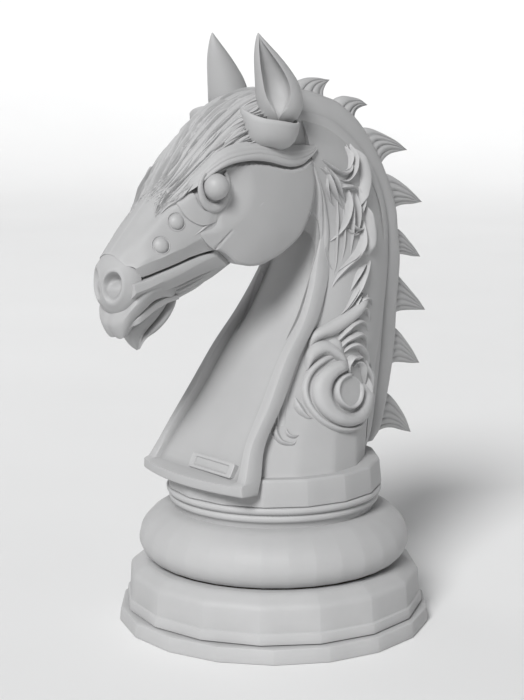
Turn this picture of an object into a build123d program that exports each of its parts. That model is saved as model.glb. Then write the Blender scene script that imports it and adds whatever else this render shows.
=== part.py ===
"""Giant lawn chess knight: a weighted base and a hollow horse-head top that lifts off it.

Millimetres. The origin is the centre of the base's underside, +Z is up, and the horse faces -Y.
Its left side is +X. The piece is mirror symmetric about X = 0, apart from the name plate.
"""
import os
from math import cos, pi

from build123d import *

# Driving dimensions
BASE_R = 125.0             # corner radius of the foot rim, half of the base's width
RIM_SIDES = 18
RIM_H = 12.5               # top of the foot rim
PLINTH_SIDES = 16
PLINTH_R = 119.0           # corner radius where the plinth stands on the rim
PLINTH_UPPER_R = 116.0
PLINTH_UPPER_Z = 42.0
SHOULDER_R = 105.0
DECK_Z = 50.0              # top of the plinth
RING_R = 108.0             # widest radius of the rounded ring moulding
RING_WIDE_Z = 67.0
RING_TOP_R = 80.0
RING_TOP_Z = 93.0
SPLIT_Z = 110.0            # joint between the weighted base and the knight
SPIGOT_R = 50.0
SPIGOT_H = 32.0            # height of the spigot above the joint
COLLAR_R = 86.0            # upper collar, at the joint
COLLAR_TOP_R = 84.0
COLLAR_TOP_Z = 132.0
WALL = 4.0                 # wall of every hollow moulding
LIFT_GAP = 0.2             # gap under the upper collar
SLIDE_GAP = 0.4            # radial gap between the spigot and its bore
LEDGE_BORE_R = 106.0       # bore of the rim, where the base cover sits
LEDGE_R = 98.0             # bore of the ledge that the cover is screwed to
COVER_Z = 3.0              # underside of the base cover
COVER_T = 3.0
FILLER_R = 20.0            # filler hole in the base cover
CAP_R = 26.0
SCREW_R = 2.0
DOWEL_R = 2.9
RELIEF = 6.0               # how far the carved ornaments stand off the neck
CREST_HALF = 13.0          # half thickness of the crest strip
TUFT_HALF = 8.0            # half thickness of a mane tuft at its root

# Neck sections from the collar to the poll: front (Y, Z), back (Y, Z), then the half widths at the
# front corner, at the widest place and at the back corner.
NECK = [
    ((-66, 132), (80, 132), 46, 76, 14),
    ((-50, 160), (90, 165), 42, 63, 13),
    ((-30, 192), (99, 200), 38, 54, 12),
    ((-9, 226), (107, 240), 34, 47, 12),
    ((10, 258), (110, 275), 31, 42, 12),
    ((20, 285), (107, 310), 28, 39, 12),
    ((22, 305), (96, 347), 28, 37, 12),
    ((20, 318), (70, 379), 28, 36, 14),
    ((16, 326), (38, 396), 28, 35, 18),
    ((12, 330), (8, 403), 28, 34, 20),
]
NECK_WIDEST = 0.42         # where a neck section is widest, from front to back

# Head sections on planes across Y: the corners of one half, (X, Z), from the top to the jaw line.
HEAD_Y = (8, -20, -50, -80, -105, -130, -149)
HEAD = (
    ((14, 405), (27, 392), (34, 345), (26, 312), (10, 306)),
    ((18, 408), (30, 385), (36, 345), (30, 302), (12, 296)),
    ((20, 398), (33, 372), (35, 340), (31, 300), (14, 294)),
    ((16, 374), (31, 360), (33, 338), (30, 309), (14, 306)),
    ((14, 352), (22, 344), (30, 322), (29, 304), (13, 304)),
    ((13, 329), (17, 325), (27, 309), (26, 298), (12, 298)),
    ((12, 308), (16, 303), (25, 294), (25, 290), (12, 290)),
)
HEAD_SHRINK = 0.86         # size of the hollow, as a share of each head section

# Chest plate stations, (Z, front Y at the middle, inner edge (X, Y), outer border (X, Y)).
PLATE = (
    (122, -93, (46, -88), (62, -83)),
    (131, -93, (46, -88), (62, -83)),
    (133.5, -77, (50.5, -75), (61.5, -79)),
    (157, -66, (45, -61), (54, -68)),
    (186, -46, (40, -41), (51, -48)),
    (219, -25, (36, -20), (46, -26)),
    (244, -6, (34, -1), (43, -6)),
    (268, 7, (30, 12), (38, 9)),
    (290, 15, (25, 20), (33, 18)),
)
PLATE_T = 5.0
LEDGE_ROWS = 2             # the first stations make the ledge that overhangs the collar
NAME_PLATE_W, NAME_PLATE_H = 50.0, 10.0
NAME_PLATE_X = 18.0        # its middle, towards the horse's left

CREST_BACK = [(100, 132), (107, 142), (116, 175), (124, 243), (127, 280), (124, 306), (120, 328),
              (104, 362), (81, 393), (60, 409), (44, 415), (26, 421), (12, 421)]
CREST_FRONT = [(12, 402), (31, 400), (57, 389), (75, 378), (93, 353), (103, 313), (109, 262),
               (96, 196), (85, 132)]

# Mane tufts: upper root, tip, lower root, each (Y, Z), from the poll down to the collar.
TUFTS = [
    ((26, 419), (56, 427), (54, 406)),
    ((60, 407), (97, 408), (80, 391)),
    ((88, 384), (143, 369), (108, 353)),
    ((112, 347), (161, 325), (121, 317)),
    ((123, 307), (160, 279), (126, 277)),
    ((126, 266), (168, 233), (123, 230)),
    ((122, 221), (161, 188), (117, 184)),
    ((115, 168), (152, 129), (104, 134)),
]

BROW = [(-106, 357), (-92, 364), (-57, 370), (-19, 364), (-4, 368), (13, 377), (-4, 384), (-30, 381),
        (-57, 381), (-90, 372)]
JAW_UNDER = [(-104, 280), (-97, 266), (-75, 274), (-56, 282), (-38, 287), (-46, 294)]
JAW_LINE = [(-66, 296), (-80, 305), (-98, 303), (-126, 297), (-148, 289)]
LIP = [(-163, 260), (-162, 250), (-156, 243), (-147, 242), (-134, 262), (-112, 269), (-104, 276),
       (-108, 285), (-122, 285), (-138, 280), (-148, 274)]
CHIN = [(-144, 250), (-134, 234), (-124, 240), (-111, 248), (-105, 258), (-107, 267), (-124, 262)]
STRAP = [(24, 293), (22, 318), (19, 344), (14, 378), (6, 378), (9, 344), (11, 318), (12, 296)]
FLAME = [(26, 250), (40, 262), (58, 300), (66, 330), (62, 362), (50, 366), (36, 352), (20, 366),
         (30, 330), (36, 300)]
SCROLL_LEAF = [(6, 200), (0, 222), (18, 240), (44, 262), (66, 250), (58, 226), (44, 212)]
SCROLL_Y, SCROLL_Z, SCROLL_R, SCROLL_EYE_R = 28.0, 188.0, 31.0, 11.5
SCROLL_TAIL = [(54, 168), (70, 175), (78, 205), (72, 215), (60, 205)]

EAR = [                    # (X, Y, Z) of each section's centre, then its half width and half depth
    (30, -22, 399, 9, 8),
    (31, -20, 412, 16.5, 14.5),
    (31, -25, 430, 15, 13.5),
    (30, -32, 446, 9.8, 8.8),
    (28, -37, 457, 4, 3.6),
    (27.6, -38.8, 463.9, 0.8, 0.8),
]
EAR_TURN = 25.0            # how far the ears' wide sides turn outward, in degrees
CUFF = [(30, -30, 380, 7), (30, -29, 386, 15), (30, -29, 394, 19), (30, -29, 401, 19.5)]
EYE = (32.0, -86.0, 353.0)
EYE_R = 10.0
STUDS = [(-117, 331), (-131, 314)]
STUD_R = 6.2
NOSTRIL = (20.0, -167.0, 285.0)
NOSTRIL_R = 7.5
MUZZLE = (                 # (Y, top Z, low Z, half width)
    (-149, 303, 262, 25),
    (-158, 300, 260, 24.5),
    (-164, 295, 262, 21),
    (-168, 288, 268, 12),
)
CHEEK_Y, CHEEK_Z = -47.0, 341.0
CHEEK = ((26, 60, 50), (36, 59, 49), (41, 44, 36))    # (X, half length, half height)
FORELOCK = (               # (Y, top half width, top Z, low half width, low Z)
    (7.5, 14, 420, 26, 400),
    (-10, 16, 419, 28, 396),
    (-35, 18, 415, 30, 385),
    (-53, 18, 409, 32, 381),
    (-84, 14, 384, 29, 368),
    (-103, 8, 362, 19, 348),
    (-116, 3, 346, 8, 338),
)

PAIR = {"left": 1, "right": -1}


def publish(piece, name):
    """Label a finished piece and write it as its own STEP file."""
    piece.label = name
    export_step(piece, f"parts/{name}.step")


def half_of(shape, side):
    """The half of a shape that lies on one side of the plane of symmetry."""
    with BuildPart() as half:
        add(shape)
        split(bisect_by=Plane.YZ, keep=Keep.TOP if side > 0 else Keep.BOTTOM)
    return half.part


def facing(side, shape):
    """A left-hand shape as it is, or mirrored for the right-hand side."""
    with BuildPart() as piece:
        if side > 0:
            add(shape)
        else:
            add(mirror(shape, about=Plane.YZ, mode=Mode.PRIVATE))
    return piece.part


def subtract_all(shape, *cutters):
    """A shape less each of its neighbours."""
    with BuildPart() as piece:
        add(shape)
        for cutter in cutters:
            add(cutter, mode=Mode.SUBTRACT)
    return piece.part


def side_slab(outline, x_low, x_high):
    """A closed (Y, Z) outline extruded between two X planes."""
    with BuildPart() as slab:
        with BuildSketch(Plane.YZ.offset(x_low)):
            with BuildLine():
                Polyline(*outline, close=True)
            make_face()
        extrude(amount=x_high - x_low)
    return slab.part


def many_sided(sides, lower_r, lower_z, upper_r, upper_z):
    """A tapered many-sided block with a corner on +X."""
    with BuildPart() as block:
        with BuildSketch(Plane.XY.offset(lower_z)):
            RegularPolygon(lower_r, sides)
        with BuildSketch(Plane.XY.offset(upper_z)):
            RegularPolygon(upper_r, sides)
        loft(ruled=True)
    return block.part


def round_bar(radius, low_z, high_z, places=((0, 0),)):
    """Upright cylinders at the given places."""
    with BuildPart() as bar:
        with BuildSketch(Plane.XY.offset(low_z)):
            with Locations(*places):
                Circle(radius)
        extrude(amount=high_z - low_z)
    return bar.part


# ---------------------------------------------------------------- weighted base

def base_screw_places(radius, count):
    return [Vector(radius, 0).rotate(Axis.Z, 360 / count * (i + 0.5)) for i in range(count)]


def flat_places(radius, count):
    return [(p.X, p.Y) for p in base_screw_places(radius, count)]


COVER_SCREWS = flat_places((LEDGE_R + LEDGE_BORE_R) / 2, 6)
DECK_SCREWS = flat_places(64, 4)
RING_SCREWS = flat_places(62, 4)
NECK_SCREWS = [(38, -50), (-38, -50), (27, 60), (-27, 60)]


def make_foot_rim():
    rim_block = many_sided(RIM_SIDES, BASE_R, 0, BASE_R - 1, RIM_H)
    with BuildPart() as foot_rim:
        add(rim_block)
        add(round_bar(LEDGE_BORE_R, -1, COVER_Z + COVER_T), mode=Mode.SUBTRACT)
        add(round_bar(LEDGE_R, -1, RIM_H + 1), mode=Mode.SUBTRACT)
        add(round_bar(1.6, 0, 11.5, COVER_SCREWS), mode=Mode.SUBTRACT)
    return foot_rim.part


def plinth_block(inset, low_z, high_z):
    lower = many_sided(PLINTH_SIDES, PLINTH_R - inset, low_z, PLINTH_UPPER_R - inset, PLINTH_UPPER_Z)
    upper = many_sided(PLINTH_SIDES, PLINTH_UPPER_R - inset, PLINTH_UPPER_Z,
                       SHOULDER_R - inset, high_z)
    with BuildPart() as block:
        add(lower)
        add(upper)
    return block.part


def make_plinth_shell():
    with BuildPart() as plinth_shell:
        add(plinth_block(0, RIM_H, DECK_Z))
        add(plinth_block(WALL + 1, RIM_H, DECK_Z - WALL), mode=Mode.SUBTRACT)
        add(round_bar(SCREW_R + 0.1, DECK_Z - WALL - 1, DECK_Z + 1, DECK_SCREWS), mode=Mode.SUBTRACT)
    return plinth_shell.part


def ring_profile(inset):
    """Half section of the rounded ring, (radius, Z), pulled in by the wall."""
    with BuildSketch(Plane.XZ) as profile:
        with BuildLine():
            low = (SHOULDER_R - 13 - inset, DECK_Z + inset)
            wide = (RING_R - inset, RING_WIDE_Z)
            top = (RING_TOP_R - inset, RING_TOP_Z - inset)
            Line((40, DECK_Z + inset), low)
            Spline(low, wide, top, tangents=((1, 0.12), (-1, 0.25)))
            Line(top, (40, RING_TOP_Z - inset))
            Line((40, RING_TOP_Z - inset), (40, DECK_Z + inset))
        make_face()
    return profile.sketch


def make_ring_moulding():
    with BuildPart() as ring_moulding:
        add(ring_profile(0))
        revolve(axis=Axis.Z)
        add(ring_profile(WALL))
        revolve(axis=Axis.Z, mode=Mode.SUBTRACT)
        add(round_bar(SCREW_R + 0.1, DECK_Z - 1, DECK_Z + WALL + 1, DECK_SCREWS), mode=Mode.SUBTRACT)
        add(round_bar(SCREW_R + 0.1, RING_TOP_Z - WALL - 1, RING_TOP_Z + 1, RING_SCREWS),
            mode=Mode.SUBTRACT)
    return ring_moulding.part


def make_lower_collar():
    """Beaded collar that carries the spigot."""
    collar_outline = [
        (45, RING_TOP_Z), (79.5, RING_TOP_Z), (80.5, 97), (82.5, 98.5), (84, 103), (83.2, 104),
        (85.2, 105.5), (COLLAR_R, 107.5), (COLLAR_R, SPLIT_Z - 0.8), (COLLAR_R - 0.8, SPLIT_Z),
        (SPIGOT_R, SPLIT_Z), (SPIGOT_R, SPLIT_Z + SPIGOT_H - 2), (SPIGOT_R - 2, SPLIT_Z + SPIGOT_H),
        (0, SPLIT_Z + SPIGOT_H), (0, SPLIT_Z + SPIGOT_H - WALL),
        (SPIGOT_R - WALL - 1, SPLIT_Z + SPIGOT_H - WALL),
    ]
    with BuildPart() as lower_collar:
        with BuildSketch(Plane.XZ):
            with BuildLine():
                Polyline(*collar_outline, close=True)
            make_face()
        revolve(axis=Axis.Z)
        add(round_bar(SCREW_R, RING_TOP_Z - 1, RING_TOP_Z + 9, RING_SCREWS), mode=Mode.SUBTRACT)
    return lower_collar.part


def make_base_cover():
    with BuildPart() as base_cover:
        add(round_bar(LEDGE_BORE_R - 0.3, COVER_Z, COVER_Z + COVER_T))
        add(round_bar(FILLER_R + WALL, COVER_Z, COVER_Z + 11))
        add(round_bar(FILLER_R, COVER_Z - 1, COVER_Z + 12), mode=Mode.SUBTRACT)
        with Locations(Plane(origin=(0, 0, COVER_Z), z_dir=(0, 0, -1))):
            with Locations(*[(x, -y) for x, y in COVER_SCREWS]):
                CounterSinkHole(radius=1.7, counter_sink_radius=3.3, depth=COVER_T)
    return base_cover.part


def make_cover_screws():
    with BuildPart() as cover_screws:
        for x, y in COVER_SCREWS:
            with BuildSketch(Plane((x, y, COVER_Z + 0.2), x_dir=(1, 0, 0), z_dir=(0, -1, 0))):
                with BuildLine():
                    Polyline((0, 0), (2.7, 0), (2.7, 0.3), (1.5, 1.6), (1.5, 8), (0, 8), close=True)
                make_face()
            revolve(axis=Axis((x, y, 0), (0, 0, 1)))
    return cover_screws.part


def pan_head_screws(places, head_low_z, shaft_length):
    """Pan-head screws driven upward: head below, shaft above."""
    head_h = 2.4
    with BuildPart() as screws:
        add(round_bar(3.8, head_low_z, head_low_z + head_h, places))
        add(round_bar(SCREW_R - 0.1, head_low_z + head_h, head_low_z + head_h + shaft_length, places))
    return screws.part


def make_section_screws():
    with BuildPart() as section_screws:
        add(pan_head_screws(DECK_SCREWS, DECK_Z - WALL - 2.4, WALL + 6))
        add(pan_head_screws(RING_SCREWS, RING_TOP_Z - WALL - 2.4, WALL + 8))
    return section_screws.part


def make_sand_ballast():
    """Bagged sand that fills the plinth, with a hollow over the filler neck."""
    sand_r = (PLINTH_UPPER_R - WALL - 1) * cos(pi / PLINTH_SIDES) - 1
    with BuildPart() as sand_ballast:
        add(round_bar(LEDGE_R - 0.5, COVER_Z + COVER_T, RIM_H))
        add(round_bar(sand_r, RIM_H, 40))
        add(round_bar(FILLER_R + WALL + 0.5, COVER_Z, 16), mode=Mode.SUBTRACT)
        chamfer(sand_ballast.faces().sort_by(Axis.Z)[-1].edges(), 6)
    return sand_ballast.part


def make_filler_cap():
    """Quarter-turn cap with a recessed finger bar."""
    with BuildPart() as filler_cap:
        add(round_bar(CAP_R, 0.6, 2.2))
        add(round_bar(FILLER_R - 0.5, 2.2, 11))
        add(round_bar(FILLER_R - 4, 0, 7), mode=Mode.SUBTRACT)
        with BuildSketch(Plane.XY.offset(1.0)):
            RectangleRounded(2 * (FILLER_R - 3.5), 5, 2)
        extrude(amount=7)
    return filler_cap.part


def make_filler_seal():
    with BuildPart() as filler_seal:
        add(round_bar(CAP_R - 0.8, 2.2, 2.8))
        add(round_bar(FILLER_R + 0.6, 2, 3), mode=Mode.SUBTRACT)
    return filler_seal.part


# ---------------------------------------------------------------- neck

def section_plane(front, back):
    """Plane through a neck section: local X across the neck, local Y from front to back."""
    along = Vector(0, back[0] - front[0], back[1] - front[1])
    return Plane(origin=(0, *front), x_dir=(1, 0, 0), z_dir=Vector(1, 0, 0).cross(along))


def neck_body(inset):
    """The neck as one solid, pulled in by inset, or swelled where inset is negative."""
    with BuildPart() as body:
        for front, back, front_w, mid_w, back_w in NECK:
            length = (Vector(*back) - Vector(*front)).length
            with BuildSketch(section_plane(front, back)):
                with BuildLine():
                    Line((0, inset), (front_w - inset, inset))
                    Spline((front_w - inset, inset), (mid_w - inset, NECK_WIDEST * length),
                           (back_w - inset / 2, length - inset))
                    Line((back_w - inset / 2, length - inset), (0, length - inset))
                    mirror(about=Plane.YZ)
                make_face()
        loft()
    return body.part


def head_body(scale):
    """The head above the jaw line as one solid; each section is scaled about its middle."""
    end_wall = 0 if scale == 1 else WALL
    planes = [HEAD_Y[0] - end_wall, *HEAD_Y[1:-1], HEAD_Y[-1] + end_wall]
    with BuildPart() as body:
        for y, corners in zip(planes, HEAD):
            middle_z = (corners[0][1] + corners[-1][1]) / 2
            half = [(x * scale, middle_z + (z - middle_z) * scale) for x, z in corners]
            other = [(-x, z) for x, z in reversed(half)]
            with BuildSketch(Plane((0, y, 0), x_dir=(1, 0, 0), z_dir=(0, -1, 0))):
                with BuildLine():
                    Polyline(*half, *other, close=True)
                make_face()
        loft(ruled=True)
    return body.part


NECK_SOLID = neck_body(0)
NECK_SWELLED = neck_body(-RELIEF)
HEAD_SOLID = head_body(1)


def cross_bars(radius, reach, places):
    """Bars along X at (Y, Z) places, reaching both ways from the seam."""
    with BuildPart() as bars:
        with BuildSketch(Plane.YZ.offset(-reach)):
            with Locations(*places):
                Circle(radius)
        extrude(amount=2 * reach)
    return bars.part


NECK_DOWELS = [(-25, 150), (75, 155), (5, 215), (88, 235), (88, 300)]
HEAD_DOWELS = [(-10, 380), (-30, 320), (-85, 340), (-135, 305)]


def hollow_halves(outer, inner, dowels):
    """Both halves of a moulding split along its seam, with a boss around each dowel."""
    with BuildPart() as bosses:
        add(cross_bars(DOWEL_R + 3.5, 90, dowels))
        add(outer, mode=Mode.INTERSECT)
    with BuildPart() as moulding:
        add(outer)
        add(inner, mode=Mode.SUBTRACT)
        add(bosses.part)
        add(cross_bars(DOWEL_R + 0.1, 10, dowels), mode=Mode.SUBTRACT)
    return moulding.part


def make_neck():
    """Neck moulding with upright bosses over the collar screws."""
    shell = hollow_halves(NECK_SOLID, neck_body(WALL), NECK_DOWELS)
    with BuildPart() as screw_bosses:
        add(round_bar(5.5, COLLAR_TOP_Z, COLLAR_TOP_Z + 14, NECK_SCREWS))
        add(NECK_SOLID, mode=Mode.INTERSECT)
    with BuildPart() as neck:
        add(shell)
        add(screw_bosses.part)
        add(round_bar(SCREW_R, COLLAR_TOP_Z - 1, COLLAR_TOP_Z + 10, NECK_SCREWS), mode=Mode.SUBTRACT)
    return neck.part


def make_head():
    return hollow_halves(HEAD_SOLID, head_body(HEAD_SHRINK), HEAD_DOWELS)


def make_seam_dowels():
    return cross_bars(DOWEL_R, 9.5, NECK_DOWELS + HEAD_DOWELS)


def make_upper_collar():
    """Collar band of the knight; its bore slides over the spigot."""
    low_z = SPLIT_Z + LIFT_GAP
    band = many_sided(PLINTH_SIDES, COLLAR_R, low_z, COLLAR_TOP_R, COLLAR_TOP_Z)
    with BuildPart() as groove:
        add(round_bar(COLLAR_TOP_R * cos(pi / PLINTH_SIDES) - WALL, low_z, COLLAR_TOP_Z - WALL))
        add(round_bar(SPIGOT_R + SLIDE_GAP + WALL, low_z, COLLAR_TOP_Z - WALL), mode=Mode.SUBTRACT)
    with BuildPart() as upper_collar:
        add(band)
        add(groove.part, mode=Mode.SUBTRACT)
        add(round_bar(SPIGOT_R + SLIDE_GAP, low_z - 1, COLLAR_TOP_Z + 1), mode=Mode.SUBTRACT)
        add(round_bar(SCREW_R + 0.1, COLLAR_TOP_Z - WALL - 1, COLLAR_TOP_Z + 1, NECK_SCREWS),
            mode=Mode.SUBTRACT)
    return upper_collar.part


def make_neck_screws():
    return pan_head_screws(NECK_SCREWS, COLLAR_TOP_Z - WALL - 2.4, WALL + 9)


def make_chest_plate():
    """Bordered plate over the front of the neck; its lower edge overhangs the collar."""
    with BuildPart() as plate:
        for z, middle_y, (inner_x, inner_y), (outer_x, outer_y) in PLATE:
            half = [
                (0, middle_y), (inner_x - 1, inner_y), (inner_x + 2, outer_y), (outer_x, outer_y),
                (outer_x, outer_y + 2 * PLATE_T), (inner_x, inner_y + PLATE_T), (0, middle_y + PLATE_T),
            ]
            other = [(-x, y) for x, y in reversed(half[1:-1])]
            with BuildSketch(Plane.XY.offset(z)):
                with BuildLine():
                    Polyline(*half, *other, close=True)
                make_face()
        loft(ruled=True)
        add(NECK_SOLID, mode=Mode.SUBTRACT)
        add(round_bar(COLLAR_R + 1, 100, COLLAR_TOP_Z), mode=Mode.SUBTRACT)
    return plate.part


def name_plate_plane():
    """On the face of the chest plate, near its lower edge and to the horse's left."""
    panel = PLATE[LEDGE_ROWS:LEDGE_ROWS + 2]
    low, high = [Vector(0, middle_y, z) for z, middle_y, inner, outer in panel]
    up = (high - low).normalized()
    middle = low + up * (NAME_PLATE_H / 2 + 1.5)
    normal = up.cross(Vector(1, 0, 0))
    return Plane(origin=(NAME_PLATE_X, middle.Y + 1.6, middle.Z), x_dir=(1, 0, 0), z_dir=-normal)


def make_name_plate(plate):
    with BuildPart() as name_plate:
        with BuildSketch(name_plate_plane()):
            RectangleRounded(NAME_PLATE_W, NAME_PLATE_H, 1.5)
        extrude(amount=4, both=True)
        add(plate, mode=Mode.SUBTRACT)
    front = name_plate.part.solids().sort_by(Axis.Y)[0]
    with BuildPart() as front_only:
        add(front)
    return front_only.part


def make_crest_strip():
    with BuildPart() as crest_strip:
        add(side_slab(CREST_BACK + CREST_FRONT, -CREST_HALF, CREST_HALF))
        add(NECK_SOLID, mode=Mode.SUBTRACT)
    return crest_strip.part


def make_mane_tuft(upper_root, tip, lower_root):
    """Curled flame shape: full upper edge, hollow lower edge, thinner towards its tip."""
    root_middle = (Vector(*upper_root) + Vector(*lower_root)) / 2
    reach = Vector(*tip) - root_middle
    crown = Vector(*upper_root) + reach * 0.5 + Vector(2, 3)
    hollow = Vector(*lower_root) + reach * 0.35
    with BuildPart() as tuft:
        with BuildSketch(Plane.YZ):
            with BuildLine():
                Spline(upper_root, (crown.X, crown.Y), tip)
                Spline(tip, (hollow.X, hollow.Y), lower_root)
                Line(lower_root, upper_root)
            make_face()
        extrude(amount=TUFT_HALF, both=True)
    return tuft.part


def relief(*solids):
    """Carved ornament: it follows the neck and stands off it by the relief."""
    with BuildPart() as ornament:
        for solid in solids:
            add(solid)
        add(NECK_SWELLED, mode=Mode.INTERSECT)
        add(NECK_SOLID, mode=Mode.SUBTRACT)
    return ornament.part


def make_scroll():
    """Volute with an open eye, a leaf above it and a tail behind it."""
    with BuildPart() as volute:
        with BuildSketch(Plane.YZ.offset(20)):
            with Locations((SCROLL_Y, SCROLL_Z)):
                Circle(SCROLL_R)
                Circle(SCROLL_EYE_R, mode=Mode.SUBTRACT)
        extrude(amount=60)
    leaf = side_slab(SCROLL_LEAF, 20, 80)
    tail = side_slab(SCROLL_TAIL, 20, 80)
    return relief(volute.part, leaf, tail)


def make_flame():
    return relief(side_slab(FLAME, 15, 60))


def make_strap():
    return relief(side_slab(STRAP, 15, 60))


# ---------------------------------------------------------------- head

def cheek_disc():
    """Smooth round cheek with a crisp rim, before its neighbours are cut away."""
    with BuildPart() as disc:
        for x, half_y, half_z in CHEEK:
            with BuildSketch(Plane.YZ.offset(x)):
                with Locations((CHEEK_Y, CHEEK_Z)):
                    Ellipse(half_y, half_z)
        loft()
    return disc.part


def eye_tube(outer_r, inner_r, x_low, x_high):
    """A tube along X around the eye; an inner radius of 0 makes it a solid bar."""
    with BuildPart() as tube:
        with BuildSketch(Plane.YZ.offset(x_low)):
            with Locations(EYE[1:]):
                Circle(outer_r)
                if inner_r > 0:
                    Circle(inner_r, mode=Mode.SUBTRACT)
        extrude(amount=x_high - x_low)
    return tube.part


def make_cheek(cuff, forelock_body):
    """The cheek disc below the brow, clear of the jaw, the eye socket, the cuff and the hair."""
    above_brow = side_slab(BROW[:6] + [(20, 400), (-110, 400)], 0, 60)
    jaw = side_slab(JAW_UNDER + JAW_LINE, 0, 60)
    seat = eye_tube(EYE_R + 4, 0, EYE[0] - EYE_R - 2, 60)
    cut_disc = subtract_all(
        cheek_disc(), HEAD_SOLID, NECK_SOLID, above_brow, jaw, seat, cuff, forelock_body)
    with BuildPart() as cheek:
        add(cut_disc.solids().sort_by(SortBy.VOLUME)[-1])
    return cheek.part


def make_eye():
    with BuildPart() as eye:
        with Locations(EYE):
            Sphere(EYE_R)
        add(HEAD_SOLID, mode=Mode.SUBTRACT)
    return eye.part


def make_eye_ring():
    ring = eye_tube(EYE_R + 3.9, EYE_R + 0.1, EYE[0] - 4, EYE[0] + 3)
    return subtract_all(ring, HEAD_SOLID, side_slab(BROW, 0, 60))


def make_muzzle():
    """Rounded nose cap with two open nostrils."""
    with BuildPart() as muzzle:
        for y, top_z, low_z, half_w in MUZZLE:
            with BuildSketch(Plane((0, y, (top_z + low_z) / 2), x_dir=(1, 0, 0), z_dir=(0, -1, 0))):
                Ellipse(half_w, (top_z - low_z) / 2)
        loft()
        for side in PAIR.values():
            with Locations((side * NOSTRIL[0], NOSTRIL[1], NOSTRIL[2])):
                Sphere(NOSTRIL_R, mode=Mode.SUBTRACT)
        add(side_slab(LIP, -40, 40), mode=Mode.SUBTRACT)
    return muzzle.part


def make_lower_jaw():
    with BuildPart() as lower_jaw:
        add(side_slab(JAW_UNDER + JAW_LINE + LIP[-2:-5:-1], -27, 27))
        add(HEAD_SOLID, mode=Mode.SUBTRACT)
    return lower_jaw.part


def make_upper_lip():
    with BuildPart() as upper_lip:
        add(side_slab(LIP, -25, 25))
        fillet(upper_lip.edges().filter_by(Axis.X).group_by(Axis.Z)[0], 2)
        add(HEAD_SOLID, mode=Mode.SUBTRACT)
    return upper_lip.part


def make_chin():
    with BuildPart() as chin:
        add(side_slab(CHIN, -15, 15))
        add(side_slab(LIP, -40, 40), mode=Mode.SUBTRACT)
        add(side_slab(JAW_UNDER + JAW_LINE, -40, 40), mode=Mode.SUBTRACT)
    return chin.part


def make_face_studs():
    """Four round studs, two on each side of the face."""
    with BuildPart() as left_studs:
        with Locations(*[(25, y, z) for y, z in STUDS]):
            Sphere(STUD_R)
        add(HEAD_SOLID, mode=Mode.SUBTRACT)
    with BuildPart() as studs:
        add(left_studs.part)
        add(facing(-1, left_studs.part))
    return studs.part


def make_brow():
    with BuildPart() as brow:
        add(side_slab(BROW, 20, 39))
        add(HEAD_SOLID, mode=Mode.SUBTRACT)
        add(NECK_SOLID, mode=Mode.SUBTRACT)
    return brow.part


def forelock_solid():
    """Hair laid over the forehead, from the poll down to the nose."""
    with BuildPart() as forelock:
        for y, top_x, top_z, low_x, low_z in FORELOCK:
            with BuildSketch(Plane((0, y, 0), x_dir=(1, 0, 0), z_dir=(0, -1, 0))):
                with BuildLine():
                    Polyline((top_x, top_z), (low_x, low_z), (-low_x, low_z), (-top_x, top_z), close=True)
                make_face()
        loft(ruled=True)
    return forelock.part


def make_ear():
    """Pointed ear of oval sections."""
    with BuildPart() as ear:
        for x, y, z, half_w, half_d in EAR:
            with BuildSketch(Plane((x, y, z), x_dir=Vector(1, 0, 0).rotate(Axis.Z, EAR_TURN))):
                Ellipse(half_w, half_d)
        loft()
    return ear.part


def ear_cuff_body():
    with BuildPart() as body:
        for x, y, z, radius in CUFF:
            with BuildSketch(Plane.XY.offset(z)):
                with Locations((x, y)):
                    Circle(radius)
        loft()
    return body.part


def main():
    os.makedirs("parts", exist_ok=True)

    publish(make_foot_rim(), "foot_rim")
    publish(make_plinth_shell(), "plinth_shell")
    publish(make_ring_moulding(), "ring_moulding")
    publish(make_lower_collar(), "lower_collar")
    publish(make_base_cover(), "base_cover")
    publish(make_cover_screws(), "cover_screws")
    publish(make_section_screws(), "section_screws")
    publish(make_sand_ballast(), "sand_ballast")
    publish(make_filler_cap(), "filler_cap")
    publish(make_filler_seal(), "filler_seal")

    neck_half = half_of(make_neck(), 1)
    head_half = half_of(make_head(), 1)
    plate = make_chest_plate()
    crest_strip = make_crest_strip()
    cuff_body = ear_cuff_body()
    forelock_body = forelock_solid()
    ear = subtract_all(make_ear(), HEAD_SOLID)
    brow = subtract_all(make_brow(), cuff_body)
    both_ears = [facing(side, body) for side in PAIR.values() for body in (cuff_body, ear)]
    publish(make_upper_collar(), "upper_collar")
    publish(make_neck_screws(), "neck_screws")
    publish(make_seam_dowels(), "seam_dowels")
    publish(plate, "chest_plate")
    publish(make_name_plate(plate), "name_plate")
    publish(crest_strip, "crest_strip")
    for number, (upper_root, tip, lower_root) in enumerate(TUFTS, 1):
        tuft = subtract_all(make_mane_tuft(upper_root, tip, lower_root), crest_strip, NECK_SOLID)
        publish(tuft, f"mane_tuft_{number}")
    publish(make_muzzle(), "muzzle")
    publish(make_upper_lip(), "upper_lip")
    publish(make_lower_jaw(), "lower_jaw")
    publish(make_chin(), "chin")
    publish(make_face_studs(), "face_studs")
    publish(subtract_all(forelock_body, HEAD_SOLID, side_slab(BROW, -60, 60), *both_ears), "forelock")

    left_pieces = {
        "neck_shell": neck_half,
        "head_shell": head_half,
        "scroll": make_scroll(),
        "flame": make_flame(),
        "strap": subtract_all(make_strap(), cheek_disc(), side_slab(BROW, 0, 60)),
        "cheek": make_cheek(cuff_body, forelock_body),
        "eye": make_eye(),
        "eye_ring": make_eye_ring(),
        "brow": brow,
        "ear": ear,
        "ear_cuff": subtract_all(cuff_body, HEAD_SOLID, ear),
    }
    for hand, side in PAIR.items():
        for name, left_piece in left_pieces.items():
            publish(facing(side, left_piece), f"{name}_{hand}")


main()
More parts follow.
